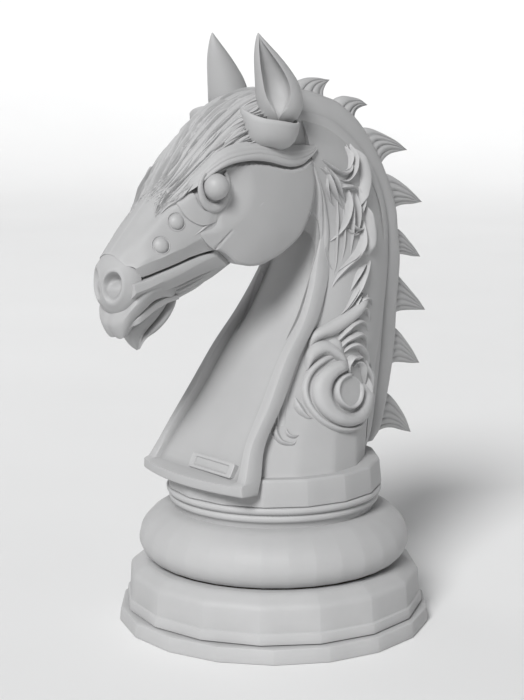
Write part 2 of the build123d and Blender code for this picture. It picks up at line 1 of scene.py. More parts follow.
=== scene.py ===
"""Looks for the giant lawn chess knight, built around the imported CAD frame.

Shapes are written in millimetres in the CAD frame (+X is the horse's left, the horse faces -Y) and
become metres when a piece is made. Left-hand pieces are mirrored about X = 0 for the right.
"""
import math
import random

import bmesh
import bpy
import numpy as np
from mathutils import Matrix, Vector
from mathutils.bvhtree import BVHTree


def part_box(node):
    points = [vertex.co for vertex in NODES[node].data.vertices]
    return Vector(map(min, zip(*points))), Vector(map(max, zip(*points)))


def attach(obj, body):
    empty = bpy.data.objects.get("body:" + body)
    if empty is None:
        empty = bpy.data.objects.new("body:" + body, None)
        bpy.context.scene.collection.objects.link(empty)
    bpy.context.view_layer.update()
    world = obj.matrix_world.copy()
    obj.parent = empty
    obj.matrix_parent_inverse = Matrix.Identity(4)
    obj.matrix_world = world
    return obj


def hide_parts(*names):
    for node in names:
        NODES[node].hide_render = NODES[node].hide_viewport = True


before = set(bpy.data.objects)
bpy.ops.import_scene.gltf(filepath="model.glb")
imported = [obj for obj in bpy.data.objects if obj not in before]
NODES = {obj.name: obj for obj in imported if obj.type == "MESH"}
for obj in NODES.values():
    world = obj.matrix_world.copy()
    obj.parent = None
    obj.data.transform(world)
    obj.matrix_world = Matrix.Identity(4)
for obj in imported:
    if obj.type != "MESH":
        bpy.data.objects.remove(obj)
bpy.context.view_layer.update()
MM = 0.001
WELD = 0.02 * MM       # corners closer than this are joined
FULL_TURN = 2 * math.pi


# ---------------------------------------------------------------- curves and surfaces

def through(points, places):
    """Catmull-Rom curve through points, read at the given places; whole numbers are the points."""
    p = np.asarray(points, float)
    p = np.concatenate([2 * p[:1] - p[1:2], p, 2 * p[-1:] - p[-2:-1]])
    u = np.clip(np.asarray(places, float), 0, len(p) - 3)
    i = np.minimum(u.astype(int), len(p) - 4)
    t = (u - i).reshape(u.shape + (1,) * (p.ndim - 1))
    a, b, c, d = p[i], p[i + 1], p[i + 2], p[i + 3]
    return 0.5 * (2 * b + (c - a) * t + (2 * a - 5 * b + 4 * c - d) * t ** 2
                  + (3 * b - 3 * c + d - a) * t ** 3)


def path(points, count):
    """count points evenly spaced along a smooth curve through points."""
    p = np.asarray(points, float)
    fine = through(p, np.linspace(0, len(p) - 1, 16 * len(p)))
    reach = np.concatenate([[0], np.cumsum(np.linalg.norm(np.diff(fine, axis=0), axis=1))])
    wanted = np.linspace(0, reach[-1], count)
    return np.stack([np.interp(wanted, reach, fine[:, k]) for k in range(p.shape[1])], 1)


def rail_at(rail, ys):
    """Read a rail, given as its stations along Y and its X and Z there, at the given Y values."""
    stations, xs, zs = rail
    p = np.stack(np.broadcast_arrays(xs, stations, zs), 1).astype(float)
    fine = through(p, np.linspace(0, len(p) - 1, 30 * len(p)))
    return np.stack([np.interp(ys, fine[:, 1], fine[:, 0]), ys, np.interp(ys, fine[:, 1], fine[:, 2])], 1)


def ease(low, high, value):
    """Smooth step from 0 at low to 1 at high; low may be the larger one."""
    t = np.clip((np.asarray(value, float) - low) / (high - low), 0, 1)
    return t * t * (3 - 2 * t)


def around(count):
    """count angles evenly spaced round a full turn."""
    return np.linspace(0, FULL_TURN, count, endpoint=False)


class Shape:
    """Vertices in millimetres and faces, gathered for one piece."""

    def __init__(self):
        self.verts = []
        self.faces = []

    def grid(self, rows, wrap=False, close=False, cap=(False, False)):
        """Quads between rows of points. wrap joins each row's ends, close joins last row to first."""
        rows = np.asarray(rows, float)
        n, m = rows.shape[:2]
        first = len(self.verts)
        self.verts.extend(map(tuple, rows.reshape(-1, 3)))
        for r in range(n if close else n - 1):
            r2 = (r + 1) % n
            for c in range(m if wrap else m - 1):
                c2 = (c + 1) % m
                self.faces.append(tuple(first + k for k in (r * m + c, r * m + c2, r2 * m + c2, r2 * m + c)))
        if cap[0]:
            self.faces.append(tuple(first + c for c in range(m))[::-1])
        if cap[1]:
            self.faces.append(tuple(first + (n - 1) * m + c for c in range(m)))
        return self

    def add(self, other):
        """Take in another shape's faces."""
        first = len(self.verts)
        self.verts.extend(other.verts)
        self.faces.extend(tuple(first + i for i in f) for f in other.faces)
        return self

    def mirrored(self):
        """The same shape on the other side of X = 0."""
        other = Shape()
        other.verts = [(-x, y, z) for x, y, z in self.verts]
        other.faces = [f[::-1] for f in self.faces]
        return other

    def tree(self):
        """Search tree for laying relief on this shape."""
        return BVHTree.FromPolygons(self.verts, self.faces)


def both_sides(half):
    """A half shape with its mirror image."""
    whole = Shape().add(half)
    return whole.add(half.mirrored())


def clean(mesh):
    """Weld a mesh in place, drop what has no face, and turn its faces outwards."""
    bm = bmesh.new()
    bm.from_mesh(mesh)
    bmesh.ops.remove_doubles(bm, verts=bm.verts, dist=WELD)
    bmesh.ops.dissolve_degenerate(bm, edges=bm.edges, dist=0.05 * WELD)
    loose = [v for v in bm.verts if not v.link_faces]
    bmesh.ops.delete(bm, geom=loose, context="VERTS")
    bmesh.ops.recalc_face_normals(bm, faces=bm.faces)
    bm.to_mesh(mesh)
    bm.free()


def thicken(piece, wall):
    """Turn an open skin into a shell with a wall inwards."""
    modifier = piece.modifiers.new("wall", "SOLIDIFY")
    modifier.thickness = wall * MM
    modifier.offset = -1
    modifier.use_even_offset = False
    bpy.context.view_layer.update()
    graph = bpy.context.evaluated_depsgraph_get()
    shell = bpy.data.meshes.new_from_object(piece.evaluated_get(graph))
    piece.modifiers.clear()
    skin = piece.data
    piece.data = shell
    bpy.data.meshes.remove(skin)


def make(name, shape, body, slot, material, sharp=38, wall=0):
    """Turn a shape into the piece that rides on a body and stands for the CAD node of its name."""
    mesh = bpy.data.meshes.new(name)
    mesh.from_pydata([(x * MM, y * MM, z * MM) for x, y, z in shape.verts], [], shape.faces)
    piece = bpy.data.objects.new(name, mesh)
    bpy.context.scene.collection.objects.link(piece)
    clean(mesh)
    mesh.materials.append(material)
    if wall:
        thicken(piece, wall)
    piece.data.shade_smooth()
    piece.data.set_sharp_from_angle(angle=math.radians(sharp))
    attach(piece, body)
    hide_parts(name)


def make_pair(stem, shape, slot, material, **options):
    """A left-hand shape as the piece stem_left, and its mirror image as stem_right."""
    for hand, one in (("left", shape), ("right", shape.mirrored())):
        make(f"{stem}_{hand}", one, "knight", slot, material, **options)


# ---------------------------------------------------------------- materials

class Paint:
    """A procedural node material, built up in object coordinates."""

    def __init__(self, name, roughness):
        self.material = bpy.data.materials.new(name)
        self.material.use_nodes = True
        self.nodes = self.material.node_tree.nodes
        self.shader = self.nodes["Principled BSDF"]
        self.shader.inputs["Roughness"].default_value = roughness
        self.place = self.nodes.new("ShaderNodeTexCoord").outputs["Object"]

    def link(self, source, target):
        """Feed an output socket into an input socket."""
        self.material.node_tree.links.new(source, target)

    def noise(self, scale, detail=2, roughness=0.5):
        """Cloudy value from 0 to 1."""
        node = self.nodes.new("ShaderNodeTexNoise")
        for socket, value in (("Scale", scale), ("Detail", detail), ("Roughness", roughness)):
            node.inputs[socket].default_value = value
        self.link(self.place, node.inputs["Vector"])
        return node.outputs["Fac"]

    def ramp(self, source, first, *middle, last):
        """Colours along a source value; each stop is a position and a colour."""
        node = self.nodes.new("ShaderNodeValToRGB")
        elements = node.color_ramp.elements
        for element, (position, colour) in zip(elements, (first, last)):
            element.position = position
            element.color = (*colour, 1)
        for position, colour in middle:
            elements.new(position).color = (*colour, 1)
        self.link(source, node.inputs["Fac"])
        return node.outputs["Color"]

    def mix(self, kind, factor, a, b, **options):
        """Blend of two sources, of colours (RGBA) or of values (FLOAT)."""
        node = self.nodes.new("ShaderNodeMix")
        node.data_type = kind
        for option, value in options.items():
            setattr(node, option, value)
        node.inputs["Factor"].default_value = factor
        self.link(a, node.inputs["A"])
        self.link(b, node.inputs["B"])
        return node.outputs["Result"]

    def bump(self, height, strength, depth):
        """Fine relief, depth in metres."""
        node = self.nodes.new("ShaderNodeBump")
        node.inputs["Strength"].default_value = strength
        node.inputs["Distance"].default_value = depth
        self.link(height, node.inputs["Height"])
        self.link(node.outputs["Normal"], self.shader.inputs["Normal"])

    def colour(self, source):
        """Use a source as the surface's colour."""
        self.link(source, self.shader.inputs["Base Color"])


def moulded_plastic(name, grey, roughness, grain, blotch, wear, blue=1.005):
    """Weathered plastic: clouded colour, fine moulding grain, paler worn edges, and painted shade in its
    hollows.
    """
    paint = Paint(name, roughness)
    cloud = paint.noise(14, 6, 0.6)
    low, high = grey * (1 - blotch), grey * (1 + blotch)
    clouded = paint.ramp(cloud, (0.3, (low, low, low * blue)), last=(0.72, (high, high, high * blue)))
    # Painted shade: hollows and creases (low pointiness) are darkened to 0.62 of the colour; raised edges
    # (high pointiness) are lightened by wear.
    pointiness = paint.nodes.new("ShaderNodeNewGeometry").outputs["Pointiness"]
    edges = paint.ramp(pointiness, (0.40, (0.62,) * 3), (0.5, (1,) * 3), last=(0.60, (1 + wear,) * 3))
    paint.colour(paint.mix("RGBA", 1, clouded, edges, blend_type="MULTIPLY"))
    paint.bump(paint.mix("FLOAT", 0.35, paint.noise(900, 3), paint.noise(60, 2)), grain, 0.4 * MM)
    shine = paint.nodes.new("ShaderNodeMapRange")
    shine.inputs["To Min"].default_value = roughness - 0.07
    shine.inputs["To Max"].default_value = roughness + 0.08
    paint.link(cloud, shine.inputs["Value"])
    paint.link(shine.outputs["Result"], paint.shader.inputs["Roughness"])
    paint.shader.inputs["Specular IOR Level"].default_value = 0.35
    return paint.material


def speckled(name, dark, light, scale, roughness, metallic=0.0):
    """Small-grained material for the hidden hardware, sand, seal and dowels."""
    paint = Paint(name, roughness)
    grains = paint.noise(scale, 5)
    paint.colour(paint.ramp(grains, (0.35, dark), last=(0.68, light)))
    paint.bump(grains, 0.4, 0.3 * MM)
    paint.shader.inputs["Metallic"].default_value = metallic
    return paint.material


SHELL = moulded_plastic("shell_plastic", 0.40, 0.58, 0.10, 0.045, 0.10)
BASE = moulded_plastic("base_plastic", 0.42, 0.56, 0.12, 0.05, 0.12)
HAIR = moulded_plastic("hair_plastic", 0.41, 0.60, 0.16, 0.06, 0.14)
TRIM = moulded_plastic("trim_plastic", 0.41, 0.54, 0.10, 0.05, 0.12)
EYES = moulded_plastic("eye_plastic", 0.41, 0.46, 0.05, 0.03, 0.08)
COVER = moulded_plastic("cover_plastic", 0.20, 0.62, 0.2, 0.08, 0.15, blue=1.01)
STEEL = speckled("zinc_steel", (0.42, 0.43, 0.45), (0.62, 0.63, 0.66), 400, 0.35, metallic=1.0)
RUBBER = speckled("black_rubber", (0.012, 0.012, 0.013), (0.03, 0.03, 0.032), 300, 0.75)
SAND = speckled("dry_sand", (0.32, 0.23, 0.13), (0.62, 0.50, 0.33), 700, 0.95)
WOOD = speckled("dowel_wood", (0.42, 0.27, 0.13), (0.60, 0.43, 0.24), 120, 0.6)

for node, paint in (
    ("base_cover", COVER), ("filler_cap", COVER), ("cover_screws", STEEL), ("section_screws", STEEL),
    ("neck_screws", STEEL), ("filler_seal", RUBBER), ("sand_ballast", SAND), ("seam_dowels", WOOD),
):
    NODES[node].data.materials.clear()
    NODES[node].data.materials.append(paint)


# ---------------------------------------------------------------- base: turned and many-sided pieces

def flat(*points):
    """Profile points (radius, Z) where a turned piece is many-sided."""
    return [(radius, z, True) for radius, z in points]


def turned(profile, sides=None, blunt=0.05, columns=96):
    """Closed ring of a profile; sides counts its flats, and blunt is cut off their corners."""
    if sides:
        step = FULL_TURN / sides
        spots = [k * step + f * step for k in range(sides) for f in (-0.012, 0.012, 0.25, 0.5, 0.75)]
    else:
        spots = [k * FULL_TURN / columns for k in range(columns)]
    rows = []
    for radius, z, *is_flat in profile:
        row = []
        for angle in spots:
            r = radius
            if is_flat:
                off = angle % step - step / 2
                r = min(radius * math.cos(step / 2) / math.cos(off), radius - blunt)
            row.append((r * math.cos(angle), r * math.sin(angle), z))
        rows.append(row)
    return Shape().grid(rows, wrap=True, close=True)


def foot_rim():
    """Many-sided rim with softened edges, and the step inside it for the base cover."""
    low, high = (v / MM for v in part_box("foot_rim"))
    r, top = high.x, high.z
    cover_r, cover_z, ledge_r = 106, 6, 98
    outside = flat((r - 4, 0), (r - 1.6, 0), (r - 0.5, 0.4), (r, 1.6), (r - 0.3, 6), (r - 0.9, top - 1.8),
                   (r - 1.3, top - 0.7), (r - 2.4, top - 0.1), (r - 5, top))
    return turned([(cover_r, low.z), *outside, (112, top), (ledge_r, top), (ledge_r, cover_z),
                   (cover_r, cover_z)], 18)


def plinth():
    """Many-sided plinth with a bead near its foot and a sloping shoulder."""
    outside = flat((110, 12.6), (116.5, 12.6), (119.0, 13.6), (119.4, 15.2), (119.3, 19.0), (118.9, 21.2),
                   (117.6, 22.4), (117.3, 23.4), (116.9, 30.0), (116.4, 38.5), (115.9, 41.0), (114.9, 42.6),
                   (112.8, 44.4), (108.6, 47.8), (105.6, 49.6), (103.4, 50.0))
    inside = flat((100, 46.0), (110.5, 40.5), (112.5, 22), (112.5, 14))
    return turned([*outside, (96, 50.0), (96, 46.0), *inside], 16)


def ring():
    """Rounded ring, flattened a little all round."""
    outside = path([(91, 50.1), (98, 51.6), (104.6, 57.0), (108.0, 65.6), (106.4, 75.0), (100.6, 83.4),
                    (91.5, 90.2), (84.5, 92.7), (78, 93.0)], 26)
    inside = path([(80, 89), (95, 83), (102, 74), (103.6, 66), (99, 57), (90, 54), (84, 54)], 8)
    return turned(flat((84, 50.0), *outside, (70, 93.0), (70, 89.0), *inside), 32, blunt=0)


SPIGOT_H = 32


def lower_collar():
    """Two beads below the joint, and the spigot that the knight slides on."""
    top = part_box("lower_collar")[1].z / MM
    split = top - SPIGOT_H
    beads = [(79.6, 92.6), (80.0, 94.6), (80.6, 96.4), (81.4, 97.6), (82.4, 98.2), (83.4, 98.9),
             (83.8, 100.2), (83.9, 101.6), (83.5, 102.7), (82.8, 103.2), (82.6, 103.8), (83.0, 104.3),
             (84.4, 104.9), (85.4, 105.8), (85.9, 107.0), (85.9, 108.6), (85.4, 109.5), (84.6, split)]
    spigot = [(50, split), (50, top - 2.5), (49.4, top - 1), (48, top), (1.5, top), (1.5, top - 4),
              (45, top - 4)]
    return turned([(52, 92.6), *beads, *spigot], columns=128)


def upper_collar():
    """Many-sided collar of the knight, around the spigot."""
    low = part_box("upper_collar")[0].z / MM
    outside = flat((83.4, low), (85.0, low + 0.2), (85.9, low + 1.0), (86.0, low + 2.2), (85.2, 121),
                   (84.4, 129.4), (83.9, 130.9), (82.9, 131.8), (81.4, 132.0))
    return turned([(50.4, low), *outside, (50.4, 132.0)], 16)


make("foot_rim", foot_rim(), "base", "shell_plastic", BASE, sharp=30)
make("plinth_shell", plinth(), "base", "shell_plastic", BASE, sharp=30)
make("ring_moulding", ring(), "base", "shell_plastic", BASE, sharp=40)
make("lower_collar", lower_collar(), "base", "shell_plastic", BASE, sharp=42)
make("upper_collar", upper_collar(), "knight", "shell_plastic", SHELL, sharp=30)


# ---------------------------------------------------------------- neck

# front (Y, Z), back (Y, Z), then half widths at the front corner, the widest place and the back corner
NECK = [
    (-66, 131.6, 80, 131.6, 46, 76, 14),
    (-50, 160, 90, 165, 42, 63, 13),
    (-30, 192, 99, 200, 38, 54, 12),
    (-9, 226, 107, 240, 34, 47, 12),
    (10, 258, 110, 275, 31, 42, 12),
    (20, 285, 107, 310, 28, 39, 12),
    (22, 305, 96, 347, 28, 37, 12),
    (20, 318, 70, 379, 28, 36, 14),
    (16, 326, 38, 396, 28, 35, 18),
    (12, 330, 8, 403, 28, 34, 20),
]
WIDEST = 0.42              # where a section is widest, from front to back


def neck_section(row, count, facets):
    """Half section from the front middle to the back middle; facets blends in the flats near the collar."""
    front_y, front_z, back_y, back_z, front_w, mid_w, back_w = row
    length = math.hypot(back_y - front_y, back_z - front_z)
    a, b, c = (front_w, 0), (mid_w, WIDEST * length), (back_w, length)
    reach = [0, math.dist(a, b), math.dist(a, b) + math.dist(b, c)]
    half = []
    for s in np.linspace(0, reach[2], count):
        weights = []
        for i in range(3):
            j, k = [x for x in range(3) if x != i]
            weights.append((s - reach[j]) * (s - reach[k]) / ((reach[i] - reach[j]) * (reach[i] - reach[k])))
        half.append([sum(w * p[n] for w, p in zip(weights, (a, b, c))) for n in (0, 1)])
    half = np.array(half)
    if facets > 0:
        stops = np.linspace(0, count - 1, 6).round().astype(int)
        flat = np.stack([np.interp(range(count), stops, half[stops, k]) for k in (0, 1)], 1)
        half = half * (1 - facets) + flat * facets
    points = [(0, 0)] + [tuple(p) for p in half] + [(0, length)]
    dy, dz = (back_y - front_y) / length, (back_z - front_z) / length
    return [(x, front_y + dy * t, front_z + dz * t) for x, t in points]


def neck_half(rows=110, columns=41):
    """Left half of the neck's skin, from the collar to the poll; the flats fade out going up."""
    places = np.linspace(0, len(NECK) - 1, rows)
    flats = 0.75 * (1 - ease(0.1, 2.2, places))
    return [neck_section(row, columns, share) for row, share in zip(through(NECK, places), flats)]


neck_skin = Shape().grid(neck_half())
NECK_TREE = neck_skin.tree()
make_pair("neck_shell", neck_skin, "shell_plastic", SHELL, sharp=34, wall=4)


def on_side(tree, y, z, lift=0.0):
    """The left-hand surface point at (Y, Z), raised along its normal by lift."""
    where, normal, _, _ = tree.ray_cast(Vector((200, y, z)), Vector((-1, 0, 0)))
    if where is None:
        return Vector((30, y, z)), Vector((1, 0, 0))
    if normal.x < 0:
        normal = -normal
    return where + normal * lift, normal


def pillow(w):
    """Rounded cross-section of a leaf, over w from -1 to 1."""
    return max(0.0, 1 - w * w) ** 0.55


def swell(t):
    """Height of a leaf along its length: full but for its two ends."""
    return min(1, 5 * t, 5 * (1 - t)) ** 0.6


def leaf(tree, left, right, height, steps=26, across=9, profile=pillow, rise=swell, sink=1.6):
    """A relief leaf laid on a surface between two (Y, Z) edge curves; height in mm at its middle."""
    a, b = path(left, steps), path(right, steps)
    rows = []
    for i in range(steps):
        full = height * rise(i / (steps - 1))
        row = []
        for w in np.linspace(-1, 1, across):
            y, z = a[i] + (b[i] - a[i]) * (w + 1) / 2
            row.append(on_side(tree, y, z, full * profile(w) - sink * 0.25)[0])
        for w in (1, 0, -1):
            row.append(on_side(tree, *(a[i] + (b[i] - a[i]) * (w + 1) / 2), -sink)[0])
        rows.append(row)
    return Shape().grid(rows, wrap=True, cap=(True, True))


def strand(tree, line, width, height, steps=28, across=7):
    """A tapered strand along a (Y, Z) line. width and height are in mm at the thickest."""
    p = path(line, steps)
    d = np.gradient(p, axis=0)
    d /= np.linalg.norm(d, axis=1)[:, None] + 1e-9
    side = np.stack([-d[:, 1], d[:, 0]], 1)
    t = np.linspace(0, 1, steps)
    full = np.minimum(1, np.minimum((t + 0.06) / 0.35, (1 - t + 0.02) / 0.55)) ** 0.8
    half = side * (width / 2 * full)[:, None]

    def ridge(w):
        return max(0.0, 1 - abs(w) ** 1.6) ** 0.8

    def taper(s):
        return float(np.interp(s, t, full))

    return leaf(tree, p - half, p + half, height, steps, across, ridge, taper, sink=1.4)


# ---------------------------------------------------------------- chest plate

# Z, middle Y, inner edge (X, Y), outer border (X, Y)
PLATE = [
    (122, -82.5, 53, -79.5, 62.5, -82.5),
    (133.5, -77, 50.5, -74, 61, -78),
    (157, -66, 45, -61, 54, -68),
    (186, -46, 40, -41, 51, -48),
    (219, -25, 36, -20, 46, -27),
    (244, -6, 34, -1, 43, -7),
    (268, 7, 30, 12, 38, 7),
    (290, 15, 26, 20, 33, 16),
    (312, 21, 25, 25, 31, 22),
]
LEDGE_H = 9.5              # height of the ledge along the plate's foot
LEDGE_FRONT = -93.5        # Y of the ledge in the middle; it falls back towards its ends


def plate_half():
    """Left half of the chest plate: a dished face, a raised border, and a thick ledge at its foot."""
    low_z, high_z = PLATE[0][0], PLATE[-1][0]
    ledge_z = low_z + LEDGE_H
    heights = [low_z, low_z + 0.8, low_z + 2, ledge_z - 1.4, ledge_z - 0.5, ledge_z + 0.6, ledge_z + 1.6,
               *np.linspace(ledge_z + 5, high_z, 40)]
    fine = through(PLATE, np.linspace(0, len(PLATE) - 1, 200))
    rows = []
    for i, z in enumerate(heights):
        mid_y, in_x, in_y, out_x, out_y = (np.interp(z, fine[:, 0], fine[:, k]) for k in range(1, 6))
        ledge = 1 - ease(ledge_z - 1.2, ledge_z + 1.0, z)
        flare = 2.0 * (1 - ease(low_z + 4, low_z + 28, z))
        tuck = {0: 1.6, 1: 0.4}.get(i, 0.0)
        border = out_y - in_y
        face = [(f * (in_x - 1), mid_y + (in_y - mid_y) * f ** 2.2) for f in np.linspace(0, 1, 13)]
        face += [(in_x + dx, in_y + border * share) for dx, share in ((0.2, 0.35), (0.9, 0.8), (2.0, 1.0))]
        face += [(out_x - 5, out_y), (out_x - 2.2, out_y + 0.3), (out_x - 0.7, out_y + 1.2),
                 (out_x - tuck, out_y + 3.0)]
        row = []
        for x, y in face:
            front = LEDGE_FRONT + 10.5 * (x / 62) ** 2
            row.append((x, y - flare + (front - y + flare) * ledge + tuck, z))
        row += [(out_x + 0.6 - tuck, out_y + 8.0, z), (out_x - 1, out_y + 15, z), (in_x - 4, in_y + 13, z),
                (0, mid_y + 8, z)]
        rows.append(row)
    return Shape().grid(rows, cap=(True, True))


make("chest_plate", both_sides(plate_half()), "knight", "trim_plastic", SHELL, sharp=32)


def name_plate():
    """Blank rounded plate with a raised frame, lying on the chest plate."""
    foot, top = np.array((0, -84.2, 122.0)), np.array((0, -66.6, 157.0))
    up = (top - foot) / np.linalg.norm(top - foot)
    across = np.array((1.0, 0, 0))
    out = np.cross(across, up)
    low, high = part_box("name_plate")
    centre = foot + across * (low.x + high.x) / 2 / MM + up * 18.0 + out * 0.3

    def loop(half_w, half_h, corner, lift):
        points = []
        for cx, cy, start in ((1, 1, 0), (-1, 1, 90), (-1, -1, 180), (1, -1, 270)):
            for turn in range(0, 91, 18):
                a = math.radians(start + turn)
                points.append(centre + across * (cx * (half_w - corner) + corner * math.cos(a))
                              + up * (cy * (half_h - corner) + corner * math.sin(a)) + out * lift)
        return points

    loops = [loop(*size) for size in (
        (26, 5.8, 1.8, -4.0), (26, 5.8, 1.8, 1.3), (25.5, 5.3, 1.6, 1.7), (21, 3.6, 1.5, 1.7),
        (20.4, 3.1, 1.4, 0.9), (20.0, 2.8, 1.3, 0.9), (17.5, 2.0, 1.2, 1.35), (6, 0.5, 0.3, 1.35))]
    return Shape().grid(loops, wrap=True, cap=(True, True))


make("name_plate", name_plate(), "knight", "trim_plastic", TRIM, sharp=35)


# ---------------------------------------------------------------- crest strip and mane

# back and front (Y, Z) of the strip from the collar to the poll
CREST_BACK = [(98, 131.6), (107, 142), (116, 175), (122, 208), (124, 243), (127, 280), (124, 306), (120, 328),
              (104, 362), (81, 393), (60, 409), (44, 415), (26, 420), (8, 421), (-4, 419)]
CREST_FRONT = [(76, 131.6), (78, 142), (80, 172), (82, 200), (86, 235), (90, 262), (94, 290), (93, 318),
               (84, 343), (66, 366), (48, 381), (38, 388), (24, 393), (8, 396), (-4, 396)]
# cross-sections (X, share of the way from front to back), down the neck and over the poll
CREST_EDGE = [(14, 0.0), (25, 0.0), (24, 0.10), (21, 0.26), (17.5, 0.40), (15.6, 0.47), (14.4, 0.50),
              (14.6, 0.535), (15.2, 0.58), (15.0, 0.70), (14.2, 0.84), (12.2, 0.94), (8.5, 0.99), (0, 1.01)]
CREST_EDGE_UP = [(14, 0.0), (23, 0.0), (23.0, 0.12), (22.4, 0.22), (21.4, 0.30), (20.6, 0.33), (20.0, 0.40),
                 (19.6, 0.48), (19.0, 0.56), (18.0, 0.68), (16.0, 0.82), (12.6, 0.93), (8.5, 0.99), (0, 1.01)]


def crest():
    """The strip along the back of the neck, with a step on each side that fades out at the poll."""
    steps = 90
    back, front = path(CREST_BACK, steps), path(CREST_FRONT, steps)
    low, high = np.array(CREST_EDGE), np.array(CREST_EDGE_UP)
    rows = []
    for i in range(steps):
        change = ease(0.52, 0.72, i / (steps - 1))
        edge = low * (1 - change) + high * change
        rows.append([(x, *(front[i] + (back[i] - front[i]) * t)) for x, t in edge])
    return both_sides(Shape().grid(rows))


make("crest_strip", crest(), "knight", "trim_plastic", SHELL, sharp=40)

# upper edge then lower edge of each tuft, (Y, Z) from the root to the tip
TUFTS = [
    ([(14, 412), (15, 420), (22, 426), (32, 429), (43, 429), (50, 428), (57, 427)],
     [(54, 402), (52, 408), (49, 413), (49, 418), (52, 423), (57, 427)]),
    ([(56, 404), (62, 411), (70, 414), (80, 413), (89, 411), (98, 406)],
     [(84, 384), (81, 392), (82, 399), (86, 403), (92, 405), (98, 406)]),
    ([(84, 384), (92, 388), (102, 387), (116, 382), (130, 376), (143, 368)],
     [(110, 346), (110, 354), (113, 360), (121, 365), (132, 367), (143, 368)]),
    ([(110, 346), (118, 350), (130, 345), (142, 338), (152, 331), (161, 324)],
     [(119, 310), (121, 317), (127, 321), (138, 323), (150, 323), (161, 324)]),
    ([(120, 300), (128, 305), (136, 301), (144, 294), (153, 286), (160, 278)],
     [(122, 270), (125, 279), (133, 282), (142, 281), (151, 279), (160, 278)]),
    ([(124, 260), (130, 266), (138, 260), (148, 251), (158, 242), (167, 232)],
     [(119, 224), (124, 231), (133, 234), (144, 234), (156, 233), (167, 232)]),
    ([(118, 218), (126, 223), (134, 218), (144, 208), (153, 198), (161, 187)],
     [(113, 182), (120, 188), (129, 191), (140, 190), (151, 188), (161, 187)]),
    ([(110, 160), (120, 167), (128, 162), (138, 151), (146, 140), (152, 128)],
     [(96, 126), (106, 133), (118, 136), (130, 135), (142, 131), (152, 128)]),
]


def tuft(upper, lower, number, steps=34, across=33):
    """Curled lock: strands run from the root to the tip between its two edges."""
    a, b = path(upper, steps), path(lower, steps)
    lanes = 4 if number < 2 else 5
    phase = random.Random(number).uniform(-0.12, 0.12)
    loops = []
    for i in range(steps):
        t = i / (steps - 1)
        body = 8.2 * (1 - t ** 1.5) * (1 - 0.18 * t) + 0.45
        left = []
        for w in np.linspace(-1, 1, across):
            share = (w + 1) / 2
            lane = (share + phase * math.sin(3.1 * t) * (1 - abs(w))) * lanes % 1
            notch = abs(2 * lane - 1) ** 2.2
            fade = min(1, 3.2 * t + 0.25) * (1 - 0.35 * t) * (1 - w ** 8)
            rim = max(0.0, 1 - w * w) ** 0.5
            x = body * (0.30 + 0.70 * rim) - 1.9 * notch * fade * (body / 8.6 + 0.12)
            left.append((max(0.35, x) if abs(w) < 0.999 else 0.35, *(a[i] + (b[i] - a[i]) * share)))
        loops.append(left + [(-x, y, z) for x, y, z in reversed(left)])
    return Shape().grid(loops, wrap=True, cap=(True, True))


for number, (upper, lower) in enumerate(TUFTS):
    name = f"mane_tuft_{number + 1}"
    make(name, tuft(upper, lower, number), "knight", "hair_plastic", HAIR, sharp=50)


# ---------------------------------------------------------------- neck ornaments

def strap():
    """Flat band from behind the cheek down the edge of the chest plate, ending in a small curl."""
    right = [(9, 376), (12, 366), (15, 356), (20, 345), (25, 333), (29, 318), (30, 305), (28, 288), (23, 266),
             (15, 245), (4, 231), (-4, 219), (-12, 206), (-20, 193), (-26, 179), (-29, 168)]
    left = [(6, 374), (9, 364), (12, 355), (15, 345), (17, 333), (18, 318), (17, 305), (15, 290), (7, 268),
            (-2, 248), (-12, 232), (-18, 219), (-26, 205), (-33, 190), (-38, 177), (-40, 168)]

    def grooved(w):
        return (1 - abs(w) ** 5) * (1 - 0.35 * math.exp(-((w - 0.15) / 0.10) ** 2))

    band = leaf(NECK_TREE, left, right, 3.2, 70, 19, grooved,
                lambda t: min(1, 6 * t + 0.1, 5 * (1 - t) + 0.25), 2.5)
    for line, width, height in (
        ([(-21, 202), (-27, 192), (-32, 181), (-35, 170), (-36, 162)], 4.2, 4.6),
        ([(-36, 170), (-38, 163), (-36, 157), (-29, 155), (-25, 158)], 5.0, 4.2),
        ([(-30, 166), (-30, 162), (-27, 160), (-22, 161)], 3.4, 3.4),
        ([(-40, 176), (-42, 169), (-42, 163), (-38, 158)], 3.4, 3.4),
    ):
        band.add(strand(NECK_TREE, line, width, height))
    return band


make_pair("strap", strap(), "trim_plastic", TRIM, sharp=45)


def ring_leaf(centre, outer, inner, start, stop, height, profile, steps=60, across=11):
    """Relief band along an ellipse about a (Y, Z) centre; outer and inner are (Y, Z) half sizes."""
    angles = np.radians(np.linspace(start, stop, steps))
    edges = [np.stack([centre[0] + size[0] * np.cos(angles), centre[1] + size[1] * np.sin(angles)], 1)
             for size in (outer, inner)]
    return leaf(NECK_TREE, *edges, height, steps, across, profile,
                lambda t: min(1, 9 * t + 0.15, 9 * (1 - t) + 0.15), 2.5)


